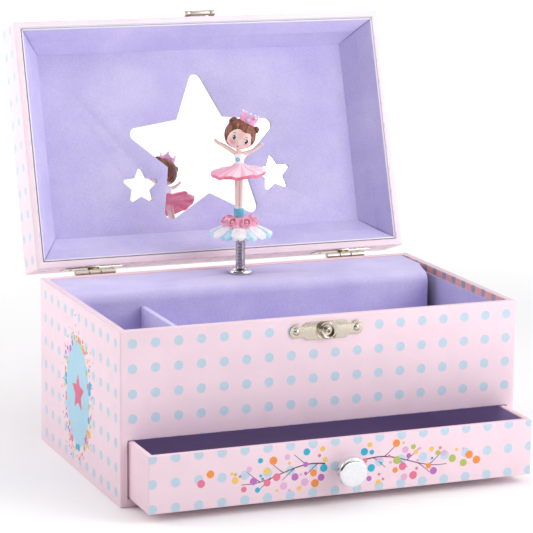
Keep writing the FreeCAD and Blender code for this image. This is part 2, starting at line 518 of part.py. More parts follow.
def comb():
    """Eighteen steel teeth on a rest block, tips just clear of the pins."""
    plate = block(COMB_X0, comb_tip_x, COMB_Y0, COMB_Y1, COMB_Z0, COMB_Z0 + COMB_THICK)
    pitch = (COMB_Y1 - COMB_Y0) / COMB_TEETH
    slots = [block(COMB_BLOCK_X1 + 1.0, comb_tip_x + 1, COMB_Y0 + pitch * k - 0.18, COMB_Y0 + pitch * k + 0.18,
                   COMB_Z0 - 1, COMB_Z0 + COMB_THICK + 1) for k in range(1, COMB_TEETH)]
    holes = [rod(0.8, (x, y, COMB_Z0 - 4), (x, y, COMB_Z0 + 4)) for x, y in comb_screw_places]
    save("music_comb", plate.cut(slots + holes))


# ---- movement: train ----------------------------------------------------------------------------
BARREL_R_OUT, BARREL_SKIN, BARREL_Y0, BARREL_Y1 = 11.0, 0.8, 24.5, 44.5


def spring_barrel():
    """Drum with the coiled mainspring inside, and the great wheel on its back."""
    drum = rod(BARREL_R_OUT, (KEY_X, BARREL_Y0, KEY_Z), (KEY_X, BARREL_Y1, KEY_Z))
    hollow = rod(BARREL_R_OUT - BARREL_SKIN, (KEY_X, BARREL_Y0 + 1, KEY_Z), (KEY_X, BARREL_Y1 - 1, KEY_Z))
    bore = rod(ARBOR_R + RUNNING, (KEY_X, 0, KEY_Z), (KEY_X, 60, KEY_Z))
    save("spring_barrel", drum.cut([hollow, bore]))
    wheel = spur_gear(GREAT_TEETH, GREAT_MODULE, great_phase, KEY_X, KEY_Z, great_y0, great_y1, ARBOR_R + RUNNING)
    hub = rod(5.0, (KEY_X, BARREL_Y1, KEY_Z), (KEY_X, great_y0, KEY_Z)).cut(bore)
    save("great_wheel", joined([wheel, hub]))

    turns, steps, strip = 5.5, 24, 0.3
    inner_r, outer_r = 2.9, BARREL_R_OUT - BARREL_SKIN - strip

    def spiral(extra):
        count = int(turns * steps)
        for k in range(count + 1):
            angle = 2 * math.pi * k / steps
            radius = inner_r + (outer_r - inner_r) * k / count + extra
            yield Vector(KEY_X + radius * math.cos(angle), BARREL_Y0 + 2, KEY_Z + radius * math.sin(angle))

    inside, outside = list(spiral(0.0)), list(spiral(strip))
    curves = [Part.BSplineCurve(), Part.BSplineCurve()]
    for curve, points in zip(curves, (inside, outside)):
        curve.interpolate(points)
    outline = Part.Wire([curves[0].toShape(), Part.makeLine(inside[-1], outside[-1]),
                         curves[1].toShape(), Part.makeLine(outside[0], inside[0])])
    save("mainspring", Part.Face(outline).extrude(Vector(0, BARREL_Y1 - BARREL_Y0 - 4, 0)))


def winding_key():
    arbor = rod(ARBOR_R, (KEY_X, PLATE_FRONT_Y, KEY_Z), (KEY_X, 62.0, KEY_Z))
    save("winding_arbor", arbor)
    flange = rod(5.5, (KEY_X, HALF_Y, KEY_Z), (KEY_X, HALF_Y + 0.8, KEY_Z))
    sleeve = rod(3.0, (KEY_X, INNER_Y, KEY_Z), (KEY_X, HALF_Y, KEY_Z))
    bore = rod(ARBOR_R + RUNNING, (KEY_X, 50, KEY_Z), (KEY_X, 60, KEY_Z))
    save("key_bush", joined([flange, sleeve]).cut(bore))
    half, wing_y, wing_r, reach = 0.9, 67.0, 6.2, 6.6
    hub = rod(3.0, (KEY_X, HALF_Y + 1.6, KEY_Z), (KEY_X, 65.0, KEY_Z))
    wings = [rod(wing_r, (KEY_X + s * reach, wing_y, KEY_Z - half), (KEY_X + s * reach, wing_y, KEY_Z + half))
             for s in (-1, 1)]
    bridge = block(KEY_X - reach, KEY_X + reach, wing_y - 3.5, wing_y + 3.0, KEY_Z - half, KEY_Z + half)
    holes = [rod(3.0, (KEY_X + s * reach, wing_y, KEY_Z - 2), (KEY_X + s * reach, wing_y, KEY_Z + 2))
             for s in (-1, 1)]
    key = joined([hub] + wings + [bridge]).cut(holes)
    save("winding_key", key.cut(rod(ARBOR_R, (KEY_X, 50, KEY_Z), (KEY_X, 62.0, KEY_Z))))


def pinned_cylinder():
    drum = rod(DRUM_R, (DRUM_X, DRUM_Y0, DRUM_Z), (DRUM_X, DRUM_Y1, DRUM_Z))
    pitch = (COMB_Y1 - COMB_Y0) / COMB_TEETH
    pins = []
    for row in range(COMB_TEETH):
        for beat in range(3):
            angle = math.radians(40 + 137.5 * row + 109 * beat)
            y = COMB_Y0 + pitch * (row + 0.5)
            low, high = DRUM_R - 0.5, DRUM_R + DRUM_PIN_OUT
            pins.append(rod(0.22, (DRUM_X + low * math.cos(angle), y, DRUM_Z + low * math.sin(angle)),
                            (DRUM_X + high * math.cos(angle), y, DRUM_Z + high * math.sin(angle))))
    drum = drum.fuse(pins).cut(rod(1.2, (DRUM_X, DRUM_Y0, DRUM_Z), (DRUM_X, DRUM_Y1, DRUM_Z)))
    save("pinned_cylinder", drum)
    arbor = rod(1.2, (DRUM_X, PLATE_FRONT_Y, DRUM_Z), (DRUM_X, plate_back_y1, DRUM_Z))
    pinion = spur_gear(PINION_TEETH, GREAT_MODULE, pinion_phase, DRUM_X, DRUM_Z, great_y0, great_y1, 1.1)
    drive = spur_gear(DRIVE_TEETH, DRIVE_MODULE, drive_phase, DRUM_X, DRUM_Z, DRIVE_Y0, DRIVE_Y1, 1.1)
    save("cylinder_arbor", joined([arbor, pinion, drive]))


def governor():
    """Idler with a worm wheel, the upright worm with its air brake, and their bracket."""
    arbor = rod(1.0, (IDLER_X, PLATE_FRONT_Y, IDLER_Z), (IDLER_X, plate_back_y1, IDLER_Z))
    pinion = spur_gear(IDLER_TEETH, DRIVE_MODULE, idler_phase, IDLER_X, IDLER_Z, DRIVE_Y0, DRIVE_Y1, 0.9)
    wheel = spur_gear(WORM_TEETH, WORM_MODULE, 180.0, IDLER_X, IDLER_Z, WORM_WHEEL_Y0, WORM_WHEEL_Y1, 0.9)
    hub = rod(3.0, (IDLER_X, DRIVE_Y1, IDLER_Z), (IDLER_X, WORM_WHEEL_Y0, IDLER_Z))
    save("governor_wheel", joined([arbor, pinion, hub, wheel]))

    lead, turns = math.pi * WORM_MODULE, 5
    start_z = IDLER_Z - turns * lead / 2
    core_r, thread_r, half_root, half_tip = 1.0, 2.45, 0.32, 0.2
    helix = Part.makeHelix(lead, turns * lead, core_r)
    profile = Part.makePolygon([Vector(core_r - 0.2, 0, -half_root), Vector(thread_r, 0, -half_tip),
                                Vector(thread_r, 0, half_tip), Vector(core_r - 0.2, 0, half_root),
                                Vector(core_r - 0.2, 0, -half_root)])
    thread = Part.Wire(helix).makePipeShell([profile], True, True)
    thread.translate(Vector(worm_x, worm_y, start_z))
    bottom_z, top_z = 45.5, 69.0
    shaft = rod(0.8, (worm_x, worm_y, bottom_z), (worm_x, worm_y, top_z))
    core = rod(core_r, (worm_x, worm_y, start_z - 1), (worm_x, worm_y, start_z + turns * lead + 1))
    save("governor_worm", joined([shaft, core, thread]))
    vane_z0, vane_z1, vane_r, vane_half = 62.8, 67.0, 4.6, 0.25
    vanes = joined([block(worm_x - vane_r, worm_x + vane_r, worm_y - vane_half, worm_y + vane_half,
                          vane_z0, vane_z1),
                    rod(1.4, (worm_x, worm_y, vane_z0), (worm_x, worm_y, vane_z1))])
    save("governor_fan", vanes.cut(rod(0.8, (worm_x, worm_y, vane_z0), (worm_x, worm_y, vane_z1))))

    strip_x0, strip_x1, arm_x1, arm_y0, arm_y1 = -41.5, -40.3, worm_x + 1.8, worm_y - 2.0, worm_y + 2.0
    bracket = joined([block(strip_x0, strip_x1, plate_front_y1, arm_y1, bottom_z, top_z),
                      block(strip_x0, arm_x1, arm_y0, arm_y1, bottom_z, bottom_z + 1.2),
                      block(strip_x0, arm_x1, arm_y0, arm_y1, top_z - 1.2, top_z)])
    save("governor_bracket", bracket.cut(rod(0.8 + RUNNING, (worm_x, worm_y, 40), (worm_x, worm_y, 75))))


def spindle():
    """Upright spindle with a contrate wheel that the great wheel turns, and the ring under the spring."""
    disc_z0, disc_z1, tooth_low = 60.6, 62.1, 58.9
    hub = rod(3.0, (SPINDLE_X, SPINDLE_Y, disc_z1), (SPINDLE_X, SPINDLE_Y, PLATE_TOP - 0.3))
    disc = rod(contrate_r + 1.0, (SPINDLE_X, SPINDLE_Y, disc_z0), (SPINDLE_X, SPINDLE_Y, disc_z1))
    tooth_half = TOOTH_FILL * math.pi * GREAT_MODULE / 2
    teeth = []
    for k in range(CONTRATE_TEETH):
        tooth = block(SPINDLE_X - tooth_half, SPINDLE_X + tooth_half, SPINDLE_Y + contrate_r - 0.9,
                      SPINDLE_Y + contrate_r + 0.9, tooth_low, disc_z0)
        tooth.rotate(Vector(SPINDLE_X, SPINDLE_Y, 0), Z, 360.0 * k / CONTRATE_TEETH)
        teeth.append(tooth)
    shaft = rod(1.5, (SPINDLE_X, SPINDLE_Y, disc_z0), (SPINDLE_X, SPINDLE_Y, 77.5))
    save("dancer_spindle", joined([disc, hub, shaft] + teeth))
    ring_z0 = PLATFORM_TOP + 0.3
    ring = turned([(1.5, 0), (5.2, 0), (5.55, 0.3), (5.55, 0.9), (5.1, 1.4), (1.5, 1.4)],
                  (SPINDLE_X, SPINDLE_Y, ring_z0))
    save("spindle_ring", ring)


def stop_wire():
    """Bent wire that the shutting lid presses down beside the air brake."""
    end_y = worm_y + 4.6 + 0.6
    path = [(STOP_X, STOP_Y, STOP_TOP), (STOP_X, STOP_Y, STOP_ARM_Z), (worm_x, STOP_Y, STOP_ARM_Z),
            (worm_x, end_y, STOP_ARM_Z)]
    save("stop_wire", wire_bar(path, STOP_R))


# ---- dancer -------------------------------------------------------------------------------------
HEAD_TILT_DEG, HEAD_Z, HEAD_R = 20.0, 132.6, 6.4


def on_dancer(shape):
    """Place a shape modelled about the Z axis, facing -Y, on the spindle and turn it to face its way."""
    shape.rotate(Vector(0, 0, 0), Z, DANCER_TURN_DEG)
    shape.translate(Vector(SPINDLE_X, SPINDLE_Y, 0))
    return shape


def cone(r0, r1, start, end):
    a, b = Vector(*start), Vector(*end)
    return Part.makeCone(r0, r1, (b - a).Length, a, b - a)


def tilt_head(shape):
    shape.rotate(Vector(0, 0, HEAD_Z - HEAD_R), Y, HEAD_TILT_DEG)
    return shape


def dancer():
    coils = int(round((SPRING_TOP - SPRING_BOTTOM) / SPRING_WIRE))
    pitch = (SPRING_TOP - SPRING_BOTTOM) / coils
    bore = SPRING_RADIUS - SPRING_WIRE
    profile = [(bore, SPRING_BOTTOM)]
    for k in range(coils):
        profile += [(SPRING_RADIUS - 0.3, SPRING_BOTTOM + pitch * k), (SPRING_RADIUS, SPRING_BOTTOM + pitch * (k + 0.5))]
    profile += [(SPRING_RADIUS - 0.3, SPRING_TOP), (bore, SPRING_TOP)]
    save("dancer_spring", turned(profile, (SPINDLE_X, SPINDLE_Y, 0)))

    skirt = turned([(2.0, 88.6), (14.6, 87.2), (14.9, 88.4), (9.0, 92.4), (8.6, 95.6), (6.0, 97.6), (2.0, 97.6)],
                   (0, 0, 0))
    save("dancer_base_skirt", on_dancer(skirt))
    legs = joined([rod(1.5, (0, 0, 84.5), (0, 0, 90)), rod(1.8, (0, 0, 88.9), (0, 0, 101)),
                   cone(1.6, 2.0, (0, 0, 101), (0, 0, 116))])
    body = [legs, cone(1.8, 3.0, (0, 0, 116), (0, 0, 124.5)), cone(3.0, 1.3, (0, 0, 124.5), (0, 0, 127.5))]
    for side in (-1, 1):
        elbow, hand = (side * 6.8, -0.6, 126.6), (side * 11.4, 0, 130.6)
        body += [cone(1.1, 0.9, (side * 2.0, 0, 124.6), elbow), cone(0.9, 0.7, elbow, hand),
                 Part.makeSphere(0.9, Vector(*elbow)), Part.makeSphere(0.95, Vector(*hand))]
    head = Part.makeSphere(HEAD_R, Vector(0, 0, HEAD_Z))
    buns = [Part.makeSphere(1.9, Vector(side * 6.4, 1.0, HEAD_Z + 2.6)) for side in (-1, 1)]
    body += [rod(1.3, (0, 0, 126.5), (0, 0, 129)), tilt_head(joined([head] + buns))]
    save("dancer_figure", on_dancer(joined(body)))
    tutu = turned([(2.7, 120.0), (2.4, 117.4), (6.0, 114.6), (13.2, 113.6), (13.4, 114.6), (7.0, 118.4),
                   (3.4, 120.4)], (0, 0, 0))
    save("dancer_tutu", on_dancer(tutu))
    crown = turned([(2.6, 0), (3.3, 0), (3.9, 4.6), (3.2, 4.6)], (0, -0.4, HEAD_Z + HEAD_R - 1.0))
    crown = crown.cut(Part.makeSphere(HEAD_R, Vector(0, 0, HEAD_Z)))
    save("dancer_crown", on_dancer(tilt_head(crown)))


case_boards()
tray()
platform()
lid_boards()
lid_lining()
mirror_and_star_panel()
hinges()
latch()
hasp()
drawer()
movement_frame()
comb()
spring_barrel()
winding_key()
pinned_cylinder()
governor()
spindle()
stop_wire()
dancer()
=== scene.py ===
# A paper-covered musical jewellery box. Points are written in millimetres in the frame of the packed
# model. Lid pieces are written with the lid shut and swung to rest by LID; DRAWER places the drawer's.
import json
import random
from math import acos, atan2, copysign, cos, hypot, pi, radians, sin, sqrt

import bmesh
import bpy
from mathutils import Matrix, Vector


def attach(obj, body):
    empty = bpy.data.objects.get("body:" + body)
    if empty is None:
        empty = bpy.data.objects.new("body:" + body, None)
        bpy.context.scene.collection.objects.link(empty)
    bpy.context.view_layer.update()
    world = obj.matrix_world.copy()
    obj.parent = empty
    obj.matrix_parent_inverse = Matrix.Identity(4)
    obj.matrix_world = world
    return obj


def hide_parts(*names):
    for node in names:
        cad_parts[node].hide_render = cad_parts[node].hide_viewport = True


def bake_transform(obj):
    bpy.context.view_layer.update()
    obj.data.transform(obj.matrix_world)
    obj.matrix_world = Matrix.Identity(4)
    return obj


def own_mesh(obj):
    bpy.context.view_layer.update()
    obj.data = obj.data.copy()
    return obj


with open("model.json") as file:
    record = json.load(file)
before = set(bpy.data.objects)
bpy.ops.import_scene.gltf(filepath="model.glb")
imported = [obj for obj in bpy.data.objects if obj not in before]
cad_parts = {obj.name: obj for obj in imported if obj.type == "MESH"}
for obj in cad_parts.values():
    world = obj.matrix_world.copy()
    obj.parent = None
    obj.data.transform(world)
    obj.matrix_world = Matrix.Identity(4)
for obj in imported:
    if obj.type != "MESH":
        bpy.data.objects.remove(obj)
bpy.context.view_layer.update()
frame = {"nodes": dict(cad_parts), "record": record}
MM = 0.001
TAU = 2 * pi


# ---- places ----
def shift(x, y, z):
    return Matrix.Translation(Vector((x, y, z)) * MM)


HALF_X, HALF_Y, CASE_TOP, LID_BOTTOM, LID_TOP = 87.5, 55.0, 72.5, 73.0, 93.3
INNER_X, INNER_Y = 84.3, 51.8
HINGE_Y, HINGE_Z, OPEN_DEG = 57.9, 72.7, 107.8
HINGE_CENTRES = (-61.0, 58.5)
LID_SWING = Matrix.Rotation(radians(-OPEN_DEG), 4, "X")
LID = shift(0, HINGE_Y, HINGE_Z) @ LID_SWING @ shift(0, -HINGE_Y, -HINGE_Z)
DRAWER_OUT = 23.8
DRAWER = shift(0, -DRAWER_OUT, 0)
SPINDLE = (-0.5, 39.0)
KEY_Z = 46


# ---- mesh building ----
def circle(count):
    """Angles evenly spaced round a full turn."""
    return [TAU * k / count for k in range(count)]


def mapped(part, rule):
    """A part with each of its points (x, y, z) moved by a rule."""
    verts, faces = part
    return [rule(*v) for v in verts], faces


def heading(points, i):
    """Unit direction of a line of points at one of them."""
    return (points[min(i + 1, len(points) - 1)] - points[max(i - 1, 0)]).normalized()


def loft(rings, cap_start=True, cap_end=True, closed=True):
    """Quads between rings of points; each ring has the same number of points."""
    n = len(rings[0])
    verts = [p for ring in rings for p in ring]
    faces = []
    for i in range(len(rings) - 1):
        for k in range(n if closed else n - 1):
            a, b = i * n + k, i * n + (k + 1) % n
            faces.append((a, b, b + n, a + n))
    if cap_start:
        faces.append(tuple(reversed(range(n))))
    if cap_end:
        faces.append(tuple(range((len(rings) - 1) * n, len(rings) * n)))
    return verts, faces


def lathe(profile, segments=64, ripple=None):
    """Rings about Z from (radius, height) pairs, low end first; ripple(angle, i) adds (radius, height)."""
    rings = []
    for i, (r, z) in enumerate(profile):
        ring = []
        for t in circle(segments):
            dr, dz = ripple(t, i) if ripple else (0, 0)
            ring.append(((r + dr) * cos(t), (r + dr) * sin(t), z + dz))
        rings.append(ring)
    return loft(rings)


def tube(path, radius, sides=12, flat=1.0):
    """A tube along points; radius is one number or one per point; flat squeezes its second axis."""
    path = [Vector(p) for p in path]
    radii = radius if isinstance(radius, (list, tuple)) else [radius] * len(path)
    side = None
    rings = []
    for i, p in enumerate(path):
        along = heading(path, i)
        if side is None:
            side = along.orthogonal().normalized()
        side = (side - along * side.dot(along)).normalized()
        other = along.cross(side)
        rings.append([tuple(p + (side * cos(a) + other * sin(a) * flat) * radii[i]) for a in circle(sides)])
    return loft(rings)


def ball(centre, size, rings=12, segments=20):
    """A closed ellipsoid."""
    cx, cy, cz = centre
    sx, sy, sz = size if isinstance(size, (list, tuple)) else (size,) * 3
    out = []
    for i in range(rings + 1):
        a = pi * (i + 0.04) / (rings + 0.08)
        out.append([(cx + sx * sin(a) * cos(t), cy + sy * sin(a) * sin(t), cz - sz * cos(a))
                    for t in circle(segments)])
    return loft(out)


def moved(part, matrix):
    return mapped(part, lambda *v: tuple(matrix @ Vector(v)))


def tidy_normals(bm):
    bmesh.ops.recalc_face_normals(bm, faces=bm.faces)


def new_object(name, data):
    obj = bpy.data.objects.new(name, data)
    bpy.context.scene.collection.objects.link(obj)
    return obj


def new_piece(name, bm, materials, body, nodes=(), matrix=None, sharp_deg=38.0):
    """Write a bmesh whose points are in millimetres as a piece that rides on a body."""
    mesh = bpy.data.meshes.new(name)
    bmesh.ops.scale(bm, vec=(MM, MM, MM), verts=bm.verts)
    bm.to_mesh(mesh)
    bm.free()
    for p in mesh.polygons:
        p.use_smooth = True
    mesh.set_sharp_from_angle(angle=radians(sharp_deg))
    obj = new_object(name, mesh)
    if matrix is not None:
        obj.matrix_world = matrix
    for m in (materials if isinstance(materials, (list, tuple)) else [materials]):
        mesh.materials.append(m)
    if body:
        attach(obj, body)
    if nodes:
        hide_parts(*nodes)
    return obj


def gather(parts):
    """One bmesh from (verts, faces) or (verts, faces, material index) parts."""
    bm = bmesh.new()
    for part in parts:
        verts, faces = part[0], part[1]
        index = part[2] if len(part) > 2 else 0
        made = [bm.verts.new(v) for v in verts]
        for f in faces:
            bm.faces.new([made[i] for i in f]).material_index = index
    tidy_normals(bm)
    return bm


def piece(name, parts, materials, body, nodes=(), matrix=None, sharp_deg=38.0, bevel=0.0,
          segments=2):
    bm = gather(parts)
    if bevel:
        round_edges(bm, bevel, segments)
    return new_piece(name, bm, materials, body, nodes, matrix, sharp_deg)


def round_edges(bm, width, segments=2):
    least = radians(30.0)
    edges = [e for e in bm.edges if len(e.link_faces) == 2 and e.calc_face_angle(0) > least]
    bmesh.ops.bevel(bm, geom=edges, offset=width, segments=segments, profile=0.5, affect="EDGES",
                    clamp_overlap=True)


def box_part(x0, x1, y0, y1, z0, z1):
    return loft([[(x0, y0, z), (x1, y0, z), (x1, y1, z), (x0, y1, z)] for z in (z0, z1)])


def cad_copy(node):
    """A welded copy of a CAD node's mesh, in millimetres."""
    bm = bmesh.new()
    bm.from_mesh(frame["nodes"][node].data)
    bmesh.ops.scale(bm, vec=(1 / MM,) * 3, verts=bm.verts)
    bmesh.ops.remove_doubles(bm, verts=bm.verts, dist=0.002)
    return bm


def softened(node, material, body, width=0.15, segments=2):
    """A copy of a CAD node with its edges rounded, to stand for it."""
    bm = cad_copy(node)
    bmesh.ops.dissolve_limit(bm, angle_limit=radians(1.5), verts=bm.verts, edges=bm.edges)
    round_edges(bm, width, segments)
    return new_piece(node + "_soft_edges", bm, material, body, (node,))


def cut_box(outer, cutters, radius):
    """A box with box- or rod-shaped hollows cut out and every edge rounded."""
    def as_object(part):
        mesh = bpy.data.meshes.new("tool")
        bm = gather([part])
        bm.to_mesh(mesh)
        bm.free()
        return new_object("tool", mesh)

    main = as_object(box_part(*outer))
    tools = [as_object(box_part(*c) if len(c) == 6 else c) for c in cutters]
    for tool in tools:
        mod = main.modifiers.new("cut", "BOOLEAN")
        mod.operation, mod.solver, mod.object = "DIFFERENCE", "EXACT", tool
    graph = bpy.context.evaluated_depsgraph_get()
    bm = bmesh.new()
    bm.from_mesh(bpy.data.meshes.new_from_object(main.evaluated_get(graph)))
    for obj in [main] + tools:
        bpy.data.objects.remove(obj)
    bmesh.ops.remove_doubles(bm, verts=bm.verts, dist=0.0005)
    bmesh.ops.dissolve_limit(bm, angle_limit=radians(0.5), verts=bm.verts, edges=bm.edges)
    round_edges(bm, radius, 3)
    tidy_normals(bm)
    return bm


# ---- materials ----
def srgb(r, g, b):
    def lin(c):
        c /= 255
        return c / 12.92 if c <= 0.04045 else ((c + 0.055) / 1.055) ** 2.4
    return (lin(r), lin(g), lin(b), 1.0)


class Nodes:
    """Adds and joins shader nodes in one tree."""

    def __init__(self, tree):
        self.tree = tree

    def add(self, kind, **values):
        node = self.tree.nodes.new(kind)
        for key, value in values.items():
            if hasattr(node, key):
                setattr(node, key, value)
            else:
                node.inputs[key].default_value = value
        return node

    def link(self, a, b):
        self.tree.links.new(a, b)

    def feed(self, socket, value):
        """Set a socket to a number or colour, or join another node's output to it."""
        if isinstance(value, (int, float, tuple)):
            socket.default_value = value
        else:
            self.link(value, socket)

    def operate(self, kind, operation, values):
        node = self.add(kind, operation=operation)
        for socket, value in zip(node.inputs, values):
            self.feed(socket, value)
        return node.outputs

    def math(self, operation, *values):
        return self.operate("ShaderNodeMath", operation, values)[0]

    def vector(self, operation, *values):
        gives_number = operation in ("DISTANCE", "LENGTH", "DOT_PRODUCT")
        return self.operate("ShaderNodeVectorMath", operation, values)["Value" if gives_number else "Vector"]

    def step(self, value, low, high, top=1.0):
        """A smooth rise from nothing at low to top at high."""
        node = self.add("ShaderNodeMapRange", interpolation_type="SMOOTHSTEP",
                        **{"From Min": low, "From Max": high, "To Max": top})
        self.link(value, node.inputs["Value"])
        return node.outputs[0]


class Surface(Nodes):
    """A new material whose nodes end in one principled shader."""

    def __init__(self, name):
        self.material = bpy.data.materials.new(name)
        self.material.use_nodes = True
        super().__init__(self.material.node_tree)
        self.tree.nodes.clear()
        self.shader = self.add("ShaderNodeBsdfPrincipled")
        out = self.add("ShaderNodeOutputMaterial")
        self.link(self.shader.outputs[0], out.inputs["Surface"])

    def place(self):
        return self.add("ShaderNodeTexCoord").outputs["Object"]

    def noise(self, scale, detail=3.0, rough=0.55, where=None, stretch=None):
        node = self.add("ShaderNodeTexNoise", Scale=scale, Detail=detail, Roughness=rough)
        source = where or self.place()
        if stretch:
            mapping = self.add("ShaderNodeMapping", Scale=stretch)
            self.link(source, mapping.inputs["Vector"])
            source = mapping.outputs[0]
        self.link(source, node.inputs["Vector"])
        return node.outputs["Fac"]

    def ramp(self, factor, stops):
        node = self.add("ShaderNodeValToRGB")
        elements = node.color_ramp.elements
        while len(elements) < len(stops):
            elements.new(0.5)
        for element, (at, colour) in zip(elements, stops):
            element.position, element.color = at, colour
        self.link(factor, node.inputs[0])
        return node.outputs[0]

    def mix(self, factor, a, b):
        node = self.add("ShaderNodeMix", data_type="RGBA")
        for socket, value in ((node.inputs[0], factor), (node.inputs[6], a), (node.inputs[7], b)):
            self.feed(socket, value)
        return node.outputs[2]

    def bump(self, height, strength, distance):
        node = self.add("ShaderNodeBump", Strength=strength, Distance=distance)
        self.link(height, node.inputs["Height"])
        previous = self.shader.inputs["Normal"]
        if previous.is_linked:
            self.link(previous.links[0].from_socket, node.inputs["Normal"])
        self.link(node.outputs[0], previous)

    def set(self, **values):
        names = {"rough": "Roughness", "metal": "Metallic", "specular": "Specular IOR Level",
                 "sheen": "Sheen Weight", "sheen_rough": "Sheen Roughness",
                 "subsurface": "Subsurface Weight", "sub_scale": "Subsurface Scale"}
        for key, value in values.items():
            self.feed(self.shader.inputs[names[key]], value)

    def colour(self, value):
        self.feed(self.shader.inputs["Base Color"], value)


def tinted(colour, factor):
    """The same colour a little darker or lighter."""
    return tuple(min(1, c * factor) for c in colour[:3]) + (1,)


def rough_range(low, high):
    """Ramp stops for a roughness that drifts between two values."""
    return [(0.3, (low,) * 3 + (1,)), (0.7, (high,) * 3 + (1,))]


PINK, DOT_BLUE = srgb(243, 217, 228), srgb(193, 214, 230)
DOT_X, DOT_Z = 9.71, 10.23                       # spacing of the printed dots
DOT_RADIUS = (1.86, 2.08)                        # solid ink, then bare paper


def paper(name, base, dots=False, ink_colour=DOT_BLUE):
    """Matt coated printed paper: faint fibre, faint mottling, and dots on a grid in the print coordinates."""
    n = Surface(name)
    mottled = n.ramp(n.noise(90.0, 4.0), [(0.3, tinted(base, 0.965)), (0.7, tinted(base, 1.02))])
    if dots:
        uv = n.add("ShaderNodeUVMap", uv_map="print").outputs[0]
        parts = n.add("ShaderNodeSeparateXYZ")
        n.link(uv, parts.inputs[0])
        offsets = []
        for axis, pitch in ((0, DOT_X), (1, DOT_Z)):
            nearest = n.math("SUBTRACT", n.math("FRACT", n.math("ADD", parts.outputs[axis], 0.5)), 0.5)
            offsets.append(n.math("POWER", n.math("MULTIPLY", nearest, pitch), 2.0))
        far = n.math("SQRT", n.math("ADD", *offsets))
        far = n.math("ADD", far, n.math("MULTIPLY", n.math("SUBTRACT", n.noise(900.0, 2.0), 0.5), 0.22))
        ink = n.math("SUBTRACT", 1.0, n.step(far, *DOT_RADIUS))
        blue = n.ramp(n.noise(260.0, 3.0), [(0.3, tinted(ink_colour, 0.95)), (0.7, ink_colour)])
        mottled = n.mix(ink, mottled, blue)
    n.colour(mottled)
    n.set(rough=n.ramp(n.noise(420.0, 3.0), rough_range(0.42, 0.55)), specular=0.35)
    n.bump(n.noise(2600.0, 2.0), 0.12, 0.00004)
    n.bump(n.noise(160.0, 3.0), 0.10, 0.00012)
    return n.material


def flock(name, low, high):
    """Short dense pile: cloudy shading where the pile leans, and a fine grain."""
    n = Surface(name)
    cloud = n.noise(34.0, 4.0, 0.6)
    grainy = n.noise(1500.0, 3.0, 0.7)
    both = n.math("ADD", n.math("MULTIPLY", cloud, 0.55), n.math("MULTIPLY", grainy, 0.45))
    n.colour(n.ramp(both, [(0.34, low), (0.64, high)]))
    n.set(rough=0.95, specular=0.12, sheen=0.35, sheen_rough=0.45)
    n.bump(grainy, 0.55, 0.00018)
    n.bump(n.noise(4200.0, 2.0), 0.4, 0.0001)
    return n.material


def metal(name, tint, rough, wear=0.06):
    """Plated or turned metal with fine scratches along one way."""
    n = Surface(name)
    n.colour(n.ramp(n.noise(700.0, 3.0), [(0.3, tinted(tint, 0.93)), (0.7, tint)]))
    streaks = n.noise(500.0, 4.0, stretch=(1, 1, 12))
    n.set(metal=1.0, rough=n.ramp(streaks, rough_range(rough, rough + wear * 2)))
    n.bump(streaks, 0.05, 0.00003)
    return n.material


def painted(name, base, rough=0.42):
    """Moulded plastic painted by hand: soft colour drift and slight brush texture."""
    n = Surface(name)
    n.colour(n.ramp(n.noise(500.0, 3.0), [(0.3, tinted(base, 0.94)), (0.7, tinted(base, 1.06))]))
    n.set(rough=rough, specular=0.4)
    n.bump(n.noise(1400.0, 3.0), 0.12, 0.00006)
    return n.material


PAPER_DOTS = paper("paper_dots", PINK, dots=True)
PAPER_PLAIN = paper("paper_plain", srgb(243, 214, 225))
# A lighter copy of the dotted paper with paler dots, for the lid's rim: painted light.
PAPER_RIM_PAINTED_LIGHT = paper("paper_rim_painted_light", srgb(252, 231, 240), True, srgb(206, 224, 238))
# A salmon copy of the dotted paper with grey dots, for where it folds over into the tray: painted shade.
PAPER_FOLD_IN_PAINTED_SHADE = paper("paper_fold_painted_shade", srgb(243, 176, 168), True, srgb(166, 166, 184))
FLOCK = flock("flock_lilac", srgb(188, 179, 229), srgb(216, 209, 243))
# A faint glow for the drawer's dark card and pile: painted light standing in for light bounced into the
# drawer.
PAINTED_BOUNCE_GLOW = (0.052, 0.038, 0.078, 1.0)           # what the dark card gives back in deep shade
FLOCK_DARK_GLOWING = flock("flock_aubergine_painted_glow", srgb(132, 118, 158), srgb(160, 146, 184))
DARK_PAPER_GLOWING = paper("paper_aubergine_painted_glow", srgb(150, 136, 172))
# The drawer's dark card and pile glow faintly: painted light.
for dark in (FLOCK_DARK_GLOWING, DARK_PAPER_GLOWING):
    shader = dark.node_tree.nodes["Principled BSDF"]
    shader.inputs["Emission Color"].default_value = PAINTED_BOUNCE_GLOW
    shader.inputs["Emission Strength"].default_value = 1.0
NICKEL = metal("nickel_plate", srgb(222, 220, 216), 0.12)
CHROME = metal("chrome_plate", srgb(235, 236, 238), 0.05, wear=0.03)
BRASS = metal("brass", srgb(214, 182, 110), 0.25)
STEEL = metal("turned_steel", srgb(176, 176, 180), 0.3)
SPRING_STEEL = metal("spring_steel", srgb(200, 197, 200), 0.16)


def mirror_material():
    n = Surface("mirror_silver")
    n.colour(srgb(250, 251, 252))
    n.set(metal=1.0, rough=n.ramp(n.noise(40.0, 3.0), rough_range(0.012, 0.03)))
    return n.material


MIRROR = mirror_material()


# ---- print coordinates: a face's nearest axis picks which grid it takes ----
FRONT_DOTS, SIDE_DOTS, SIDE_PITCH = (-82.29, 67.12), (-49.56, 66.76), 9.65


def case_print(x, y, z, facing):
    if facing == 1:
        return (x - FRONT_DOTS[0]) / DOT_X, (z - FRONT_DOTS[1]) / DOT_Z
    if facing == 0:
        top_row = SIDE_DOTS[1] if abs(x) > 86 else 71.0
        return (y - SIDE_DOTS[0]) / SIDE_PITCH, (z - top_row) / DOT_Z
    return 0.5, 0.5


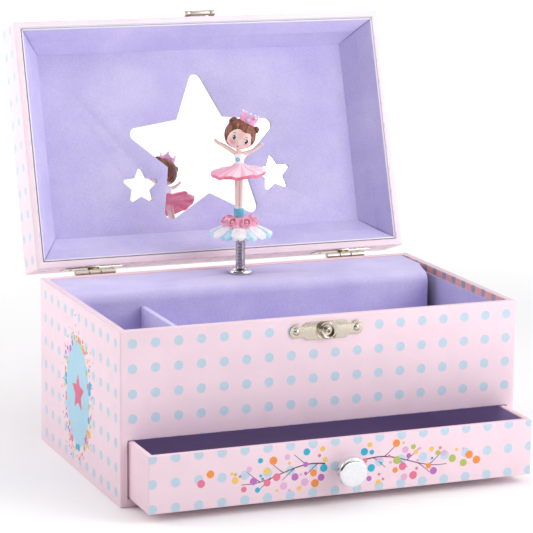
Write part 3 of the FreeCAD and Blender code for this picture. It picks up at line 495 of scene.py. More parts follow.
def lid_print(x, y, z, facing):
    """One sheet folds down over the lid's four sides, then over the rim."""
    across, along = (x - FRONT_DOTS[0]) / DOT_X, (y + 52.2) / DOT_Z
    if facing == 1:
        return across, (z - 79.4) / DOT_Z if y < 0 else (z - 83.2) / 12.0
    if facing == 0:
        return (z - 79.4) / DOT_X, along
    if z > 80:
        return across, along
    if abs(x) / HALF_X > abs(y) / HALF_Y:
        return (abs(x) - 83.1) / DOT_X, along
    return across, (abs(y) - 50.5) / DOT_Z


def print_uv(mesh, rule):
    """Dot grid coordinates: whole numbers are dot centres."""
    layer = mesh.uv_layers.new(name="print")
    for poly in mesh.polygons:
        sizes = [abs(c) for c in poly.normal]
        facing = sizes.index(max(sizes))
        for loop in poly.loop_indices:
            layer.data[loop].uv = rule(*(mesh.vertices[mesh.loops[loop].vertex_index].co / MM), facing)


def assign(obj, rule):
    """Set each face's material index from its centre and normal in millimetres."""
    for poly in obj.data.polygons:
        poly.material_index = rule(poly.center / MM, poly.normal)


# ---- case, lid and drawer covered in paper ----
key_hole = loft([[(SPINDLE[0] + 3.02 * cos(a), y, KEY_Z + 3.02 * sin(a)) for a in circle(24)]
                 for y in (48.0, 58.0)])
bm = cut_box((-HALF_X, HALF_X, -HALF_Y, HALF_Y, 0, CASE_TOP),
             [(-INNER_X, INNER_X, -INNER_Y, INNER_Y, 30.1, 80), (-INNER_X, INNER_X, -60, INNER_Y, 3.4, 27.6),
              key_hole], 0.55)
case_wrap = new_piece("case_paper_wrap", bm, [PAPER_DOTS, PAPER_PLAIN, PAPER_FOLD_IN_PAINTED_SHADE], "case",
                      ("base_board", "left_side_board", "right_side_board", "front_board", "back_board",
                       "drawer_ceiling_board"))
print_uv(case_wrap.data, case_print)


def case_side(c, n):
    """Dots outside; the upper inner walls take a salmon copy of the dotted paper with grey dots, a painted
    shade; plain paper elsewhere inside.
    """
    inside = abs(c.x) < 84.4 and -54.4 < c.y < 51.9
    if inside and c.z > 40 and abs(n.z) < 0.3:
        return 2
    return int(inside and 3.3 < c.z < 60)


assign(case_wrap, case_side)

bm = cut_box((-HALF_X, HALF_X, -HALF_Y, HALF_Y, LID_BOTTOM, LID_TOP),
             [(-INNER_X, INNER_X, -INNER_Y, INNER_Y, 70, 90.8)], 0.6)
lid_wrap = new_piece("lid_paper_wrap", bm, [PAPER_DOTS, PAPER_PLAIN, PAPER_RIM_PAINTED_LIGHT], "lid",
                     ("lid_top_board", "lid_front_board", "lid_back_board", "lid_left_board",
                      "lid_right_board"), LID)
print_uv(lid_wrap.data, lid_print)


def lid_side(c, n):
    """The rim takes a lighter copy of the dotted paper with paler dots, a painted light; inside the lid the
    paper is plain.
    """
    if n.z < -0.9 and c.z < 74:
        return 2
    return int(abs(c.x) < 84.4 and abs(c.y) < 51.9 and c.z < 92)


assign(lid_wrap, lid_side)

bm = cut_box((-83.8, 83.8, -55, 48, 3.74, 27.3), [(-81.3, 81.3, -52, 45.5, 5.74, 40)], 0.5)
drawer_wrap = new_piece("drawer_paper_wrap", bm, [PAPER_DOTS, PAPER_PLAIN, DARK_PAPER_GLOWING], "drawer",
                        ("drawer_front", "drawer_sides", "drawer_back", "drawer_bottom"), DRAWER)
print_uv(drawer_wrap.data, case_print)


def drawer_side(c, n):
    """Dark card inside, dots on the front, plain paper on the sides and back."""
    if abs(c.x) < 81.5 and -52.2 < c.y < 45.7 and 5.0 < c.z < 26.9:
        return 2
    return 0 if c.y < -54.4 else 1


assign(drawer_wrap, drawer_side)

# ---- lid lining: four sloped cards a little off the walls, their cut edges pale ----
PANEL_X, PANEL_Y0, PANEL_Y1, PANEL_FACE = 74.0, -43.2, 41.0, 88.8


def lining_cards():
    gap, thick, mitre = 0.14, 0.6, 0.1
    rim = [(-INNER_X, -INNER_Y), (INNER_X, -INNER_Y), (INNER_X, INNER_Y), (-INNER_X, INNER_Y)]
    deep = [(-PANEL_X, PANEL_Y0), (PANEL_X, PANEL_Y0), (PANEL_X, PANEL_Y1), (-PANEL_X, PANEL_Y1)]

    def inset(points, amount):
        return [(x - copysign(amount, x), y - copysign(amount, y)) for x, y in points]

    levels = [(LID_BOTTOM + 0.15, inset(rim, gap), inset(rim, gap + thick)),
              (PANEL_FACE, inset(deep, -thick), deep)]
    parts = []
    for i in range(4):
        j = (i + 1) % 4
        rings = []
        for z, out, inn in levels:
            corners = [Vector((*p, z)) for p in (out[i], out[j], inn[j], inn[i])]
            along = (corners[1] - corners[0]).normalized() * mitre
            rings.append([tuple(corners[0] + along), tuple(corners[1] - along),
                          tuple(corners[2] - along), tuple(corners[3] + along)])
        parts.append(loft(rings))
    return parts


CARD_EDGE = paper("card_edge", srgb(236, 234, 244))
lining = piece("lid_lining_cards", lining_cards(), [FLOCK, CARD_EDGE], "lid", ("lid_lining",), LID,
               bevel=0.12)
assign(lining, lambda c, n: int(c.z < LID_BOTTOM + 0.35))

panel = softened("star_panel", [FLOCK, CARD_EDGE], "lid", 0.12)
panel_normal = (LID.to_3x3() @ Vector((0, 0, -1))).normalized()
assign(panel, lambda c, n: int(abs(n.dot(panel_normal)) < 0.4))

for node, width in (("movement_cover", 0.3), ("tray_floor_pad", 0.2), ("tray_wall_linings", 0.25)):
    softened(node, FLOCK, "case", width)
softened("tray_divider", FLOCK, "case", 0.6, 3)
softened("drawer_floor_pad", FLOCK_DARK_GLOWING, "drawer", 0.2)

# ---- metal fittings ----
LATCH = (0.8, 66.6)


def upright(outline, y0, y1):
    """A flat closed plate in the XZ plane."""
    return loft([[(x, y, z) for x, z in outline] for y in (y0, y1)])


def dome(x, z, radius, rise):
    """A domed nail head standing on the latch plate."""
    edge = 0.12
    profile = [(radius, 0.0), (radius, edge)]
    profile += [(radius * cos(a), edge + rise * sin(a)) for a in (0.35, 0.7, 1.0, 1.25, 1.45)]
    head = lathe(profile + [(0.03, edge + rise)], 20)
    return mapped(head, lambda vx, vy, vz: (x + vx, -55.6 - vz, z + vy))


def arc_points(cx, cz, radius, first_deg, last_deg):
    """Points every ten degrees along an arc."""
    angles = [radians(d) for d in range(first_deg, last_deg + 1, 10)]
    return [(cx + radius * cos(a), cz + radius * sin(a)) for a in angles]


EAR_X, STUD_FLAT = 13.3, 3.62
step_right = [(8.2, -3.7), (9.0, -3.5), (9.8, -2.7), (10.8, -2.3)]
step_right += arc_points(EAR_X, 0.1, 2.9, -70, 70)
step_right += [(10.8, 2.4), (9.9, 2.8), (9.1, 3.5), (8.2, 3.7)]
both_sides = step_right + [(-x, z) for x, z in reversed(step_right)]
plate_outline = [(LATCH[0] + x, LATCH[1] + z) for x, z in both_sides]
dish = [(4.9, 0.02), (4.9, 0.22), (4.7, 0.32), (4.4, 0.22), (3.5, 0.14), (3.3, 0.5), (3.0, 0.85),
        (2.98, 1.95), (2.8, 2.15), (2.6, 2.05), (2.45, 1.3), (2.2, 0.5), (1.35, 0.42), (1.3, 1.3), (1.2, 1.6),
        (0.95, 1.7), (0.75, 1.55), (0.7, 0.5), (0.02, 0.4)]
stud = mapped(lathe(dish, 48), lambda x, y, z: (
    LATCH[0] + x, -55.55 - z, LATCH[1] + max(-STUD_FLAT, min(STUD_FLAT, y))))
WARM_NICKEL = metal("warm_nickel_plate", srgb(206, 196, 182), 0.16)
piece("latch_plate_stamped", [upright(plate_outline, -55.65, -55.02)], WARM_NICKEL, "case",
      ("latch_plate",), bevel=0.16, segments=3)
piece("latch_stud_turned", [stud], WARM_NICKEL, "case", ("latch_stud",))
tabs = []
for side in (-1, 1):
    x, z = LATCH[0] + side * EAR_X, LATCH[1] + 0.1
    lip = arc_points(x, z, 3.1, 50, 130) + arc_points(x, z, 2.35, 50, 130)[::-1]
    tabs.append(upright(lip, -56.35, -55.3))
    tabs.append(dome(x, z - 0.1, 1.35, 0.75))
piece("latch_nails_domed", tabs, WARM_NICKEL, "case", bevel=0.12)

knob = lathe([(3.4, 0.05), (3.0, 0.9), (2.75, 2.2), (3.1, 3.3), (5.2, 4.1), (6.1, 5.0), (6.25, 5.7),
              (6.25, 7.5), (6.05, 8.3), (5.65, 8.8), (5.2, 8.97), (3.0, 9.0), (0.03, 9.0)], 72)
piece("drawer_knob_turned", [mapped(knob, lambda x, y, z: (x, -HALF_Y - z, 15.0 + y))], CHROME, "drawer",
      ("drawer_knob",), DRAWER, sharp_deg=50)
softened("hinge_body_leaves", WARM_NICKEL, "case", 0.13, 3)
softened("hinge_lid_leaves", WARM_NICKEL, "lid", 0.13, 3)
fillers = [box_part(cx - 3.5, cx + 2.1, 55.02, 55.55, 73.25, 76.5) for cx in HINGE_CENTRES]
piece("hinge_leaf_roots", fillers, WARM_NICKEL, "lid", matrix=LID, bevel=0.12)


def knuckle(cx, x0, x1):
    """One rolled barrel of a hinge, its ends a little rounded and clear of its neighbours."""
    radius, gap, corner = 1.42, 0.2, 0.15
    barrel = lathe([(0.5, x0 + gap), (radius - corner, x0 + gap), (radius, x0 + gap + corner),
                    (radius, x1 - gap - corner), (radius - corner, x1 - gap), (0.5, x1 - gap)], 40)
    return mapped(barrel, lambda x, y, z: (cx + z, HINGE_Y + x, HINGE_Z + y))


for body, spans in (("case", ((-9.9, -3.4), (2.0, 8.8))), ("lid", ((-3.4, 2.0),))):
    piece("hinge_knuckles_" + body, [knuckle(cx, *span) for cx in HINGE_CENTRES for span in spans],
          WARM_NICKEL, body, sharp_deg=40)
softened("hasp_bracket", WARM_NICKEL, "lid", 0.12)
softened("hasp_tongue", WARM_NICKEL, "hasp", 0.15, 3)
softened("winding_key", BRASS, "winding_key_assembly", 0.35, 3)
softened("key_bush", BRASS, "case", 0.2)

# The drive shaft ends just under the spring, so the spring can bend over when the lid comes down.
bm = cad_copy("dancer_spindle")
cut = bmesh.ops.bisect_plane(bm, geom=bm.verts[:] + bm.edges[:] + bm.faces[:], plane_co=(0, 0, 73.5),
                             plane_no=(0, 0, 1), clear_outer=True)
bmesh.ops.holes_fill(bm, edges=[e for e in cut["geom_cut"] if isinstance(e, bmesh.types.BMEdge)], sides=0)
new_piece("dancer_spindle_short", bm, BRASS, "spindle", ("dancer_spindle",))

# ---- spring and its ring ----
TURNS, TURN_STEPS, COIL_R, COIL_Z, COIL_HEIGHT = 22, 20, 1.85, 73.75, 14.4
coil = []
for i in range(TURNS * TURN_STEPS + 1):
    t = i / (TURNS * TURN_STEPS)
    a = TAU * TURNS * t
    coil.append((SPINDLE[0] + COIL_R * cos(a), SPINDLE[1] + COIL_R * sin(a),
                 COIL_Z + COIL_HEIGHT * t))
spring = piece("dancer_spring_coil", [tube(coil, 0.33, 8)], SPRING_STEEL, None,
               ("dancer_spring",))
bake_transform(spring)
ring = [(3.05, 72.3), (5.5, 72.3), (5.55, 72.9), (5.3, 73.4), (4.6, 73.62), (3.9, 73.7), (3.3, 73.6),
        (3.05, 73.2)]
collar = loft([[(SPINDLE[0] + r * cos(a), SPINDLE[1] + r * sin(a), z) for a in circle(64)]
               for r, z in ring + ring[:1]], cap_start=False, cap_end=False)
piece("spindle_ring_turned", [collar], CHROME, "spindle", ("spindle_ring",))

# ---- printing on the drawer front and the case sides: very thin layers of ink ----
INK = {name: paper("ink_" + name, srgb(*rgb)) for name, rgb in (
    ("lilac", (226, 179, 214)), ("lime", (182, 194, 96)), ("magenta", (224, 103, 137)),
    ("orange", (244, 147, 70)), ("pink", (230, 120, 150)), ("purple", (188, 111, 192)),
    ("teal", (52, 176, 209)), ("yellow", (242, 199, 104)), ("twig", (96, 62, 92)), ("sky", (172, 212, 232)))}
INK_ORDER = list(INK)
PRINT_Z = 15.0                                   # middle of the drawer front
CONFETTI = ("orange", "yellow", "lime", "teal", "pink", "purple", "lilac")


def ribbon(points, w0, w1):
    """Outline of a thin stroke that tapers from w0 to w1."""
    points = [Vector(p) for p in points]
    left, right = [], []
    for i, p in enumerate(points):
        along = heading(points, i)
        across = Vector((-along.y, along.x)) * (w0 + (w1 - w0) * i / (len(points) - 1)) / 2
        left.append(tuple(p + across))
        right.append(tuple(p - across))
    return left + right[::-1]


def curved(points, steps=5):
    """Points along a smooth curve through the given ones."""
    pts = [Vector(points[0])] + [Vector(p) for p in points] + [Vector(points[-1])]
    out = []
    for a, b, c, d in zip(pts, pts[1:], pts[2:], pts[3:]):
        for i in range(steps):
            t = i / steps
            out.append(0.5 * ((2 * b) + (c - a) * t + (2 * a - 5 * b + 4 * c - d) * t * t
                              + (3 * b - a - 3 * c + d) * t ** 3))
    return out + [pts[-1]]


def spot(x, z, r, seed):
    """A slightly uneven printed disc."""
    return [(x + r * (1 + 0.03 * sin(3 * a + seed)) * cos(a), z + r * sin(a)) for a in circle(28)]


def ink_layers(outlines, place):
    """Each (outline, colour) is a thin prism on a face, a little thicker than the one before."""
    parts = []
    for i, (outline, colour) in enumerate(outlines):
        rings = [[place(u, v, h) for u, v in outline] for h in (-0.02, 0.03 + 0.0005 * i)]
        parts.append((*loft(rings), INK_ORDER.index(colour)))
    return parts


def stem_height(x):
    return PRINT_Z + 3.0 * sin(x / 9.0)


def sprigs():
    """A plain wavy stem each side of the knob, its side twigs turning up and down in turn."""
    out = []
    for side in (-1, 1):
        stem = [(side * x, stem_height(x)) for x in range(9, 46, 6)]
        out.append((ribbon(curved(stem), 0.55, 0.25), "twig"))
        for k in range(6):
            x, rise = 12 + 5 * k, 4.6 if k % 2 else -4.6
            twig = [(side * x, stem_height(x)), (side * (x + 2.4), stem_height(x) + 0.4 * rise),
                    (side * (x + 5.5), stem_height(x) + rise)]
            out.append((ribbon(curved(twig), 0.38, 0.2), "twig"))
    return out


def confetti():
    """Coloured discs scattered at random in a band that thins out toward its ends."""
    rng = random.Random(23)
    placed = []
    for radius, count in ((1.6, 60), (1.15, 60), (0.65, 90)):
        for _ in range(count):
            x, r = rng.gauss(0, 27), radius * rng.uniform(0.88, 1.08)
            z = PRINT_Z + rng.uniform(-9, 9) * (1 - (x / 72) ** 2)
            near = any(hypot(x - q[0], z - q[1]) < 1.05 * (r + q[2]) + 0.1 for q in placed)
            if not near and 8 < abs(x) < 62:
                placed.append((x, z, r))
    return [(spot(x, z, r, x), rng.choice(CONFETTI)) for x, z, r in placed]


layers = sprigs() + confetti()
piece("drawer_blossom_print", ink_layers(layers, lambda x, z, h: (x, -HALF_Y - h, z)), list(INK.values()),
      "drawer", matrix=DRAWER)


def medallion():
    """A pale oval with a pink star, ringed by scattered discs."""
    rng = random.Random(11)
    cy, cz, ry, rz = 1.3, 33.6, 15.6, 22.6
    out = [([(cy + ry * cos(a), cz + rz * sin(a)) for a in circle(72)], "sky")]
    star = []
    for k, turn in enumerate(circle(10)):
        a, r = pi / 2 + turn, 4.1 if k % 2 else 8.6
        star.append(Vector((0.6 - r * cos(a), 34.2 + r * sin(a))))
    rounded = []
    for i, p in enumerate(star):
        before, after = star[i - 1], star[(i + 1) % 10]
        cut = 0.22 if i % 2 == 0 else 0.1
        for t in (0, 0.5, 1):
            a, b = p.lerp(before, cut), p.lerp(after, cut)
            rounded.append(tuple(a.lerp(p, t).lerp(p.lerp(b, t), t)))
    out.append((rounded, "magenta"))
    placed = []
    for big, reach, count in ((1.5, 1.06, 42), (0.85, 1.14, 60), (0.5, 1.3, 70)):
        for _ in range(count):
            a, k = rng.uniform(0, TAU), rng.gauss(reach, 0.05 + 0.08 * (big < 0.6))
            y, z, r = cy + ry * k * cos(a), cz + rz * k * sin(a), big * rng.uniform(0.75, 1.15)
            near = any((y - q[0]) ** 2 + (z - q[1]) ** 2 < (0.8 * (r + q[2])) ** 2 for q in placed)
            if 5 < z < 69 and not near:
                placed.append((y, z, r))
                out.append((spot(y, z, r, y), rng.choice(CONFETTI)))
    return out


medal = medallion()
for side, name in ((-1, "left"), (1, "right")):
    piece("case_%s_star_print" % name, ink_layers(medal, lambda y, z, h, s=side: (s * (HALF_X + h), y, z)),
          list(INK.values()), "case")

# ---- dancer: the head is modelled square to where the face looks, the rest about the upright axis ----
FIGURE = shift(*SPINDLE, 0) @ Matrix.Rotation(radians(-21.0), 4, "Z")
HEAD = FIGURE @ shift(0, 0, 134) @ Matrix.Rotation(radians(-8.4), 4, "X")
HEAD_AT, SKIN_R, HAIR_R = (-0.45, 0, -0.45), 6.45, 6.85


def skin_material(name, blushes=()):
    """Painted skin; each blush is a centre, a reach and a strength."""
    n = Surface(name)
    base = n.ramp(n.noise(260.0, 3.0), [(0.3, srgb(246, 214, 202)), (0.7, srgb(252, 225, 216))])
    for centre, reach, strength in blushes:
        gap = n.vector("DISTANCE", n.place(), tuple(Vector(centre) * MM))
        close = n.math("SUBTRACT", 1.0, n.step(gap, 0.0, reach * MM))
        amount = n.math("MULTIPLY", close, strength)
        base = n.mix(amount, base, srgb(238, 128, 136))
    n.colour(base)
    n.set(rough=0.42, specular=0.35, subsurface=0.08, sub_scale=0.001)
    n.bump(n.noise(1500.0, 2.0), 0.06, 0.00005)
    return n.material


def shaded(name, light, deep):
    """Hand-painted shading between two tones."""
    n = Surface(name)
    n.colour(n.ramp(n.noise(420.0, 3.0, 0.6), [(0.35, deep), (0.62, light)]))
    n.set(rough=0.45, specular=0.4)
    n.bump(n.noise(1600.0, 3.0), 0.12, 0.00006)
    return n.material


def tutu_material():
    """Pale pink painted with darker strokes that fan out from the waist, coral toward the hem."""
    n = Surface("tutu_fanned_pink")
    flat = n.vector("MULTIPLY", n.place(), (1, 1, 0))
    strokes = n.noise(5.5, 3.0, 0.6, where=n.vector("NORMALIZE", flat))
    edge = n.step(n.vector("LENGTH", flat), 0.0105, 0.0139)
    tone = n.ramp(strokes, [(0.4, srgb(248, 172, 198)), (0.5, srgb(252, 212, 228)),
                            (0.6, srgb(253, 230, 241))])
    n.colour(n.mix(n.math("MULTIPLY", edge, 0.3), tone, srgb(250, 170, 192)))
    n.set(rough=0.42, specular=0.4)
    n.bump(strokes, 0.25, 0.0004)
    return n.material


def hair_material():
    n = Surface("hair_brown_combed")
    strands = n.noise(900.0, 4.0, 0.65, stretch=(1.0, 0.35, 0.3))
    n.colour(n.ramp(strands, [(0.34, srgb(84, 40, 26)), (0.55, srgb(134, 76, 52)),
                              (0.72, srgb(186, 124, 94))]))
    n.set(rough=0.4, specular=0.45)
    n.bump(strands, 0.5, 0.00025)
    return n.material


SKIN = skin_material("skin_body")
FACE = skin_material("skin_face", [((-4.2, -4.6, -3.7), 3.0, 0.75), ((2.6, -5.0, -5.2), 2.7, 0.75),
                                   ((0.4, -6.4, -0.4), 3.2, 0.4)])
HAIR, TUTU = hair_material(), tutu_material()
TONES = {
    "tutu_coral_underside": ((246, 140, 160), (238, 112, 138)),
    "white_paint": ((250, 249, 251), (232, 232, 242)),
    "pale_blue_paint": ((188, 226, 240), (150, 206, 230)),
    "soft_blue_paint": ((216, 240, 248), (178, 220, 238)),
    "turquoise_paint": ((120, 198, 216), (88, 174, 200)),
    "rose_pink_paint": ((254, 208, 224), (252, 180, 206)),
    "rose_deep_paint": ((252, 184, 208), (246, 156, 188)),
    "crown_pink_paint": ((250, 180, 214), (242, 150, 196)),
    "peach_underside_paint": ((248, 196, 184), (240, 170, 162)),
}
CORAL, WHITE_PAINT, BLUE_PAINT, SKY_PAINT, TURQUOISE, ROSE, ROSE_DEEP, CROWN, PEACH = (
    shaded(name, srgb(*light), srgb(*deep)) for name, (light, deep) in TONES.items())
DARK_EYE = painted("eye_dark_paint", srgb(34, 26, 32), 0.2)
LIP = painted("lip_red_paint", srgb(226, 84, 92), 0.3)
BROW = painted("brow_brown_paint", srgb(150, 96, 80), 0.4)

# the edge of the hair round the face, seen from the front
FACE_LINE = [(-5.9, -1.26), (-4.81, 0.49), (-3.31, 1.55), (-1.41, 2.07), (-0.31, 1.78), (1.0, 0.59),
             (2.6, 0.1), (3.91, -0.19), (4.42, -1.54), (4.3, -3.79), (3.9, -6.3), (1.65, -8.2),
             (-0.35, -8.7), (-3.37, -8.0), (-6.6, -5.0)]


def inside_face(x, z):
    """How far (mm, positive inside) a point seen from the front lies within the face opening."""
    inside, nearest = False, 99.0
    for (x0, z0), (x1, z1) in zip(FACE_LINE, FACE_LINE[1:] + FACE_LINE[:1]):
        if (z0 > z) != (z1 > z) and x < (x1 - x0) * (z - z0) / (z1 - z0) + x0:
            inside = not inside
        dx, dz = x1 - x0, z1 - z0
        t = max(0.0, min(1.0, ((x - x0) * dx + (z - z0) * dz) / (dx * dx + dz * dz)))
        nearest = min(nearest, hypot(x - x0 - t * dx, z - z0 - t * dz))
    return nearest if inside else -nearest


def hair_cap():
    """A combed cap that dips under the skin inside the face opening."""
    cx, cy, cz = HEAD_AT
    rings = 72
    tip = Vector((0.35, 0.45, 0.82)).normalized()
    side = tip.orthogonal().normalized()
    other = tip.cross(side)
    out = []
    for i in range(rings + 1):
        a = pi * (i + 0.02) / (rings + 0.04)
        ring = []
        for b in circle(120):
            d = tip * cos(a) + (side * cos(b) + other * sin(b)) * sin(a)
            r = HAIR_R + 0.11 * sin(26 * b + 2.2 * a) * sin(a) ** 0.5
            deep = inside_face(cx + d.x * SKIN_R, cz + d.z * SKIN_R) if d.y < 0 else -9.0
            low = max(0.0, -d.z - 0.62) * 3.0
            r -= max(0.0, min(1.0, (deep + 0.12) / 0.3)) * 1.1 + low * 0.5
            ring.append((cx + d.x * r, cy + d.y * r, cz + d.z * r))
        out.append(ring)
    return loft(out)


def bun(centre, radius, turn):
    """A coiled knot of hair: a ball with a spiral groove."""
    def grooved(*point):
        p = Vector(point)
        groove = 0.07 * sin(3 * atan2(p.z, p.x) + 7 * acos(max(-1, min(1, -p.y))) + turn)
        return tuple(Vector(centre) + p * radius * (1 + groove))

    return mapped(ball((0, 0, 0), 1.0, 20, 32), grooved)


def on_face(x, z, lift=0.0):
    cx, cy, cz = HEAD_AT
    r = SKIN_R + lift
    return Vector((x, cy - sqrt(max(0.01, r * r - (x - cx) ** 2 - (z - cz) ** 2)), z))


def decal(x, z, half_w, half_h, tilt=0.0, thick=0.1, index=0):
    """A small flattened painted mound lying on the face."""
    centre = on_face(x, z)
    out_dir = (centre - Vector(HEAD_AT)).normalized()
    across = Vector((1, 0, 0)) - out_dir * out_dir.x
    across.normalize()
    upward = across.cross(out_dir) * -1
    if upward.z < 0:
        upward = -upward
    across, upward = (across * cos(tilt) + upward * sin(tilt),
                      upward * cos(tilt) - across * sin(tilt))
    mound = mapped(ball((0, 0, 0), 1.0, 8, 20), lambda u, v, w: tuple(
        centre + across * u * half_w + out_dir * v * thick + upward * w * half_h))
    return (*mound, index)


skull = ball(HEAD_AT, SKIN_R, 32, 48)
nose = decal(-1.0, -3.9, 0.32, 0.35, 0, 0.42)
piece("dancer_face", [skull, nose], FACE, "dancer", matrix=HEAD)
piece("dancer_hair", [hair_cap(), bun((-3.3, 0.6, 5.2), 1.95, 0.0), bun((6.4, 1.2, 1.6), 1.5, 1.0)], HAIR,
      "dancer", matrix=HEAD)
eyes = []
# Each eye: a white, a dark iris, two small white dots that are painted highlights, lashes and a brow.
for x, z, lean in ((-3.0, -1.65, -0.1), (2.25, -3.65, -0.35)):
    eyes += [decal(x, z, 1.0, 1.2, lean, 0.1, 1), decal(x, z, 0.86, 1.12, lean, 0.16, 0),
             decal(x - 0.25, z + 0.4, 0.27, 0.3, 0, 0.27, 1),
             decal(x + 0.3, z - 0.45, 0.16, 0.18, 0, 0.24, 1)]
    for k in (-1, 0, 1):
        eyes.append(decal(x + 0.62 * k - 0.1, z + 1.16 - 0.2 * abs(k), 0.1, 0.34, lean - 0.5 * k, 0.1, 0))
    eyes.append(decal(x + 0.1, z + 2.0, 0.85, 0.11, lean + 0.05, 0.08, 3))
eyes += [decal(-1.85, -5.45, 0.42, 0.2, 0.2, 0.14, 2), decal(-1.45, -5.5, 0.42, 0.2, -0.25, 0.14, 2),
         decal(-1.62, -5.72, 0.42, 0.2, 0.0, 0.15, 2)]
piece("dancer_eyes_and_mouth", eyes, [DARK_EYE, WHITE_PAINT, LIP, BROW], "dancer", matrix=HEAD)


def crown_parts():
    """A flared open ring with five pearl-tipped points and a blue stone."""
    outer, inner, top_o, top_i = [], [], [], []
    for t in circle(60):
        point = max(0.0, cos(2.5 * (t + pi / 2)) ** 2 - 0.15) ** 1.3
        height = 1.7 + 2.0 * point
        for ring, r, z in ((outer, 3.45, -0.6), (top_o, 3.9, height), (top_i, 3.4, height),
                           (inner, 2.9, -0.6)):
            ring.append((r * cos(t), r * sin(t), z))
    parts = [(*loft([outer, top_o, top_i, inner, outer], False, False), 0)]
    for k in range(5):
        t = TAU * k / 5 - pi / 2
        parts.append((*ball((3.68 * cos(t), 3.68 * sin(t), 3.85), 0.52, 8, 14), 1))
    parts.append((*ball((0.0, -3.75, 0.9), (0.8, 0.35, 0.7), 8, 16), 2))
    return parts


crown_place = HEAD @ shift(2.55, -0.4, 5.0) @ Matrix.Rotation(radians(24), 4, "Y")
piece("dancer_crown_pearled", crown_parts(), [CROWN, WHITE_PAINT, BLUE_PAINT], "dancer",
      ("dancer_crown",), crown_place)


def up(w):
    """Height of a point measured square to the view, back on the upright axis."""
    return 134 + w * 1.011


body = [tube([(-1.3, 0, up(-5.5)), (-1.25, 0, up(-7.2)), (-0.9, 0, up(-8.2)), (-0.55, 0, up(-8.9))],
             [1.0, 0.95, 1.25, 2.2], 20, 0.8)]
ARMS = (((-2.3, up(-8.75)), (-6.9, up(-5.75)), (-10.3, up(-3.9)), (-11.3, up(-3.15))),
        ((1.2, up(-8.85)), (4.9, up(-7.5)), (8.1, up(-5.4)), (9.0, up(-4.7))))
for shoulder, elbow, wrist, hand in ARMS:
    path = [(p.x, 0, p.y) for p in curved([shoulder, elbow, wrist, hand])]
    body.append(tube(path, [max(0.62, 1.0 - 0.03 * i) for i in range(len(path))], 14, 0.9))
    body.append(ball((hand[0], -0.1, hand[1] + 0.1), (0.78, 0.5, 0.72), 10, 16))
for x in (-1.62, 0.02):
    body.append(tube([(x, 0, 98.6), (x, 0, 100.8), (x - 0.05, 0, 105), (x - 0.1, 0, 111), (x - 0.1, 0, 116)],
                     [0.78, 0.8, 0.88, 0.98, 1.1], 18))
body.append(tube([(-0.5, 0, 84.5), (-0.5, 0, 98.8)], 1.4, 18))
piece("dancer_limbs", body, SKIN, "dancer", ("dancer_figure",), FIGURE)
bodice = tube([(-0.85, 0, 119.2), (-0.8, 0, 120.6), (-0.7, 0, 122.2), (-0.55, 0, 124.2), (-0.52, 0, 125.0),
               (-0.52, 0, 125.35)], [2.35, 2.1, 2.2, 2.62, 2.5, 2.1], 28, 0.84)
shoes = [ball((x, -0.35, 101.0), (0.95, 1.2, 1.05), 10, 18) for x in (-1.6, 0.02)]
piece("dancer_bodice_and_shoes", [bodice] + shoes, WHITE_PAINT, "dancer", matrix=FIGURE)
flower = []
for k in range(5):
    a = TAU * k / 5 + 0.3
    place = (-1.35 + 0.62 * cos(a), -2.2, 122.9 + 0.62 * sin(a))
    flower.append((*ball(place, (0.42, 0.25, 0.42), 6, 12), 0))
flower.append((*ball((-1.35, -2.4, 122.9), 0.3, 6, 12), 1))
piece("dancer_bodice_flower", flower, [TURQUOISE, WHITE_PAINT], "dancer", matrix=FIGURE)
band = [(2.05, 97.2), (2.2, 97.5), (2.2, 98.6), (2.05, 99.0), (2.15, 99.4), (2.2, 100.6), (2.0, 101.0),
        (0.6, 101.05)]
rippled = lathe(band, 40, lambda t, i: (0.06 * sin(9 * t + i), 0))
piece("dancer_ankle_band", [mapped(rippled, lambda x, y, z: (x - 0.8, y, z))], TURQUOISE, "dancer",
      matrix=FIGURE)


def tutu_part():
    """A waved disc skirt, thick at the waist and thin at the hem, tipped a little to one side."""
    top = [(2.2, 120.9), (3.0, 120.1), (5.0, 119.3), (7.8, 118.7), (10.2, 118.2), (11.7, 117.6),
           (12.35, 117.0)]
    below = [(12.45, 116.3), (12.1, 115.6), (10.6, 115.9), (8.0, 116.4), (5.0, 117.0), (2.2, 117.6)]
    rings = []
    for r, z in top + below:
        reach = max(0.0, (r - 3.0) / 10.0)
        ring = []
        for t in circle(144):
            wave = sin(9 * t + 0.6 * sin(2 * t)) + 0.35 * sin(17 * t + 1.0)
            rr = r * (1 - 0.03 * reach * cos(2 * t)) + 0.34 * reach ** 2 * wave
            x = rr * cos(t)
            ring.append((x - 0.95, rr * sin(t) * 0.98, z + 0.42 * reach ** 1.5 * wave + 0.06 * x))
        rings.append(ring)
    return loft(rings)


tutu = piece("dancer_tutu_waved", [tutu_part()], [TUTU, CORAL], "dancer", ("dancer_tutu",), FIGURE,
             sharp_deg=60)
assign(tutu, lambda c, n: int(n.z < 0.3))


def petal(turn, index, lift):
    """One rounded drooping petal of the base skirt, hollow underneath."""
    steps, rings = 9, []
    for i in range(steps + 1):
        s = i / steps
        r = 5.2 + 8.6 * s
        half = 1.5 + 1.95 * sin(min(1.0, s * 1.25) * pi / 2)
        if s > 0.6:
            half *= sqrt(max(0.03, 1 - ((s - 0.6) / 0.41) ** 2))
        z = 93.4 + lift - 3.7 * s ** 1.5
        ring = []
        for upper in (True, False):
            across = range(9) if upper else range(8, -1, -1)
            for k in across:
                w = -1 + 2 * k / 8
                height = z - 0.7 * w * w * s + 0.25 * cos(w * 5) * s - (0 if upper else 0.75)
                ring.append((r + 0.35 * (1 - w * w) * s, half * w, height))
        rings.append(ring)
    return (*moved(loft(rings), Matrix.Rotation(turn, 4, "Z")), index)


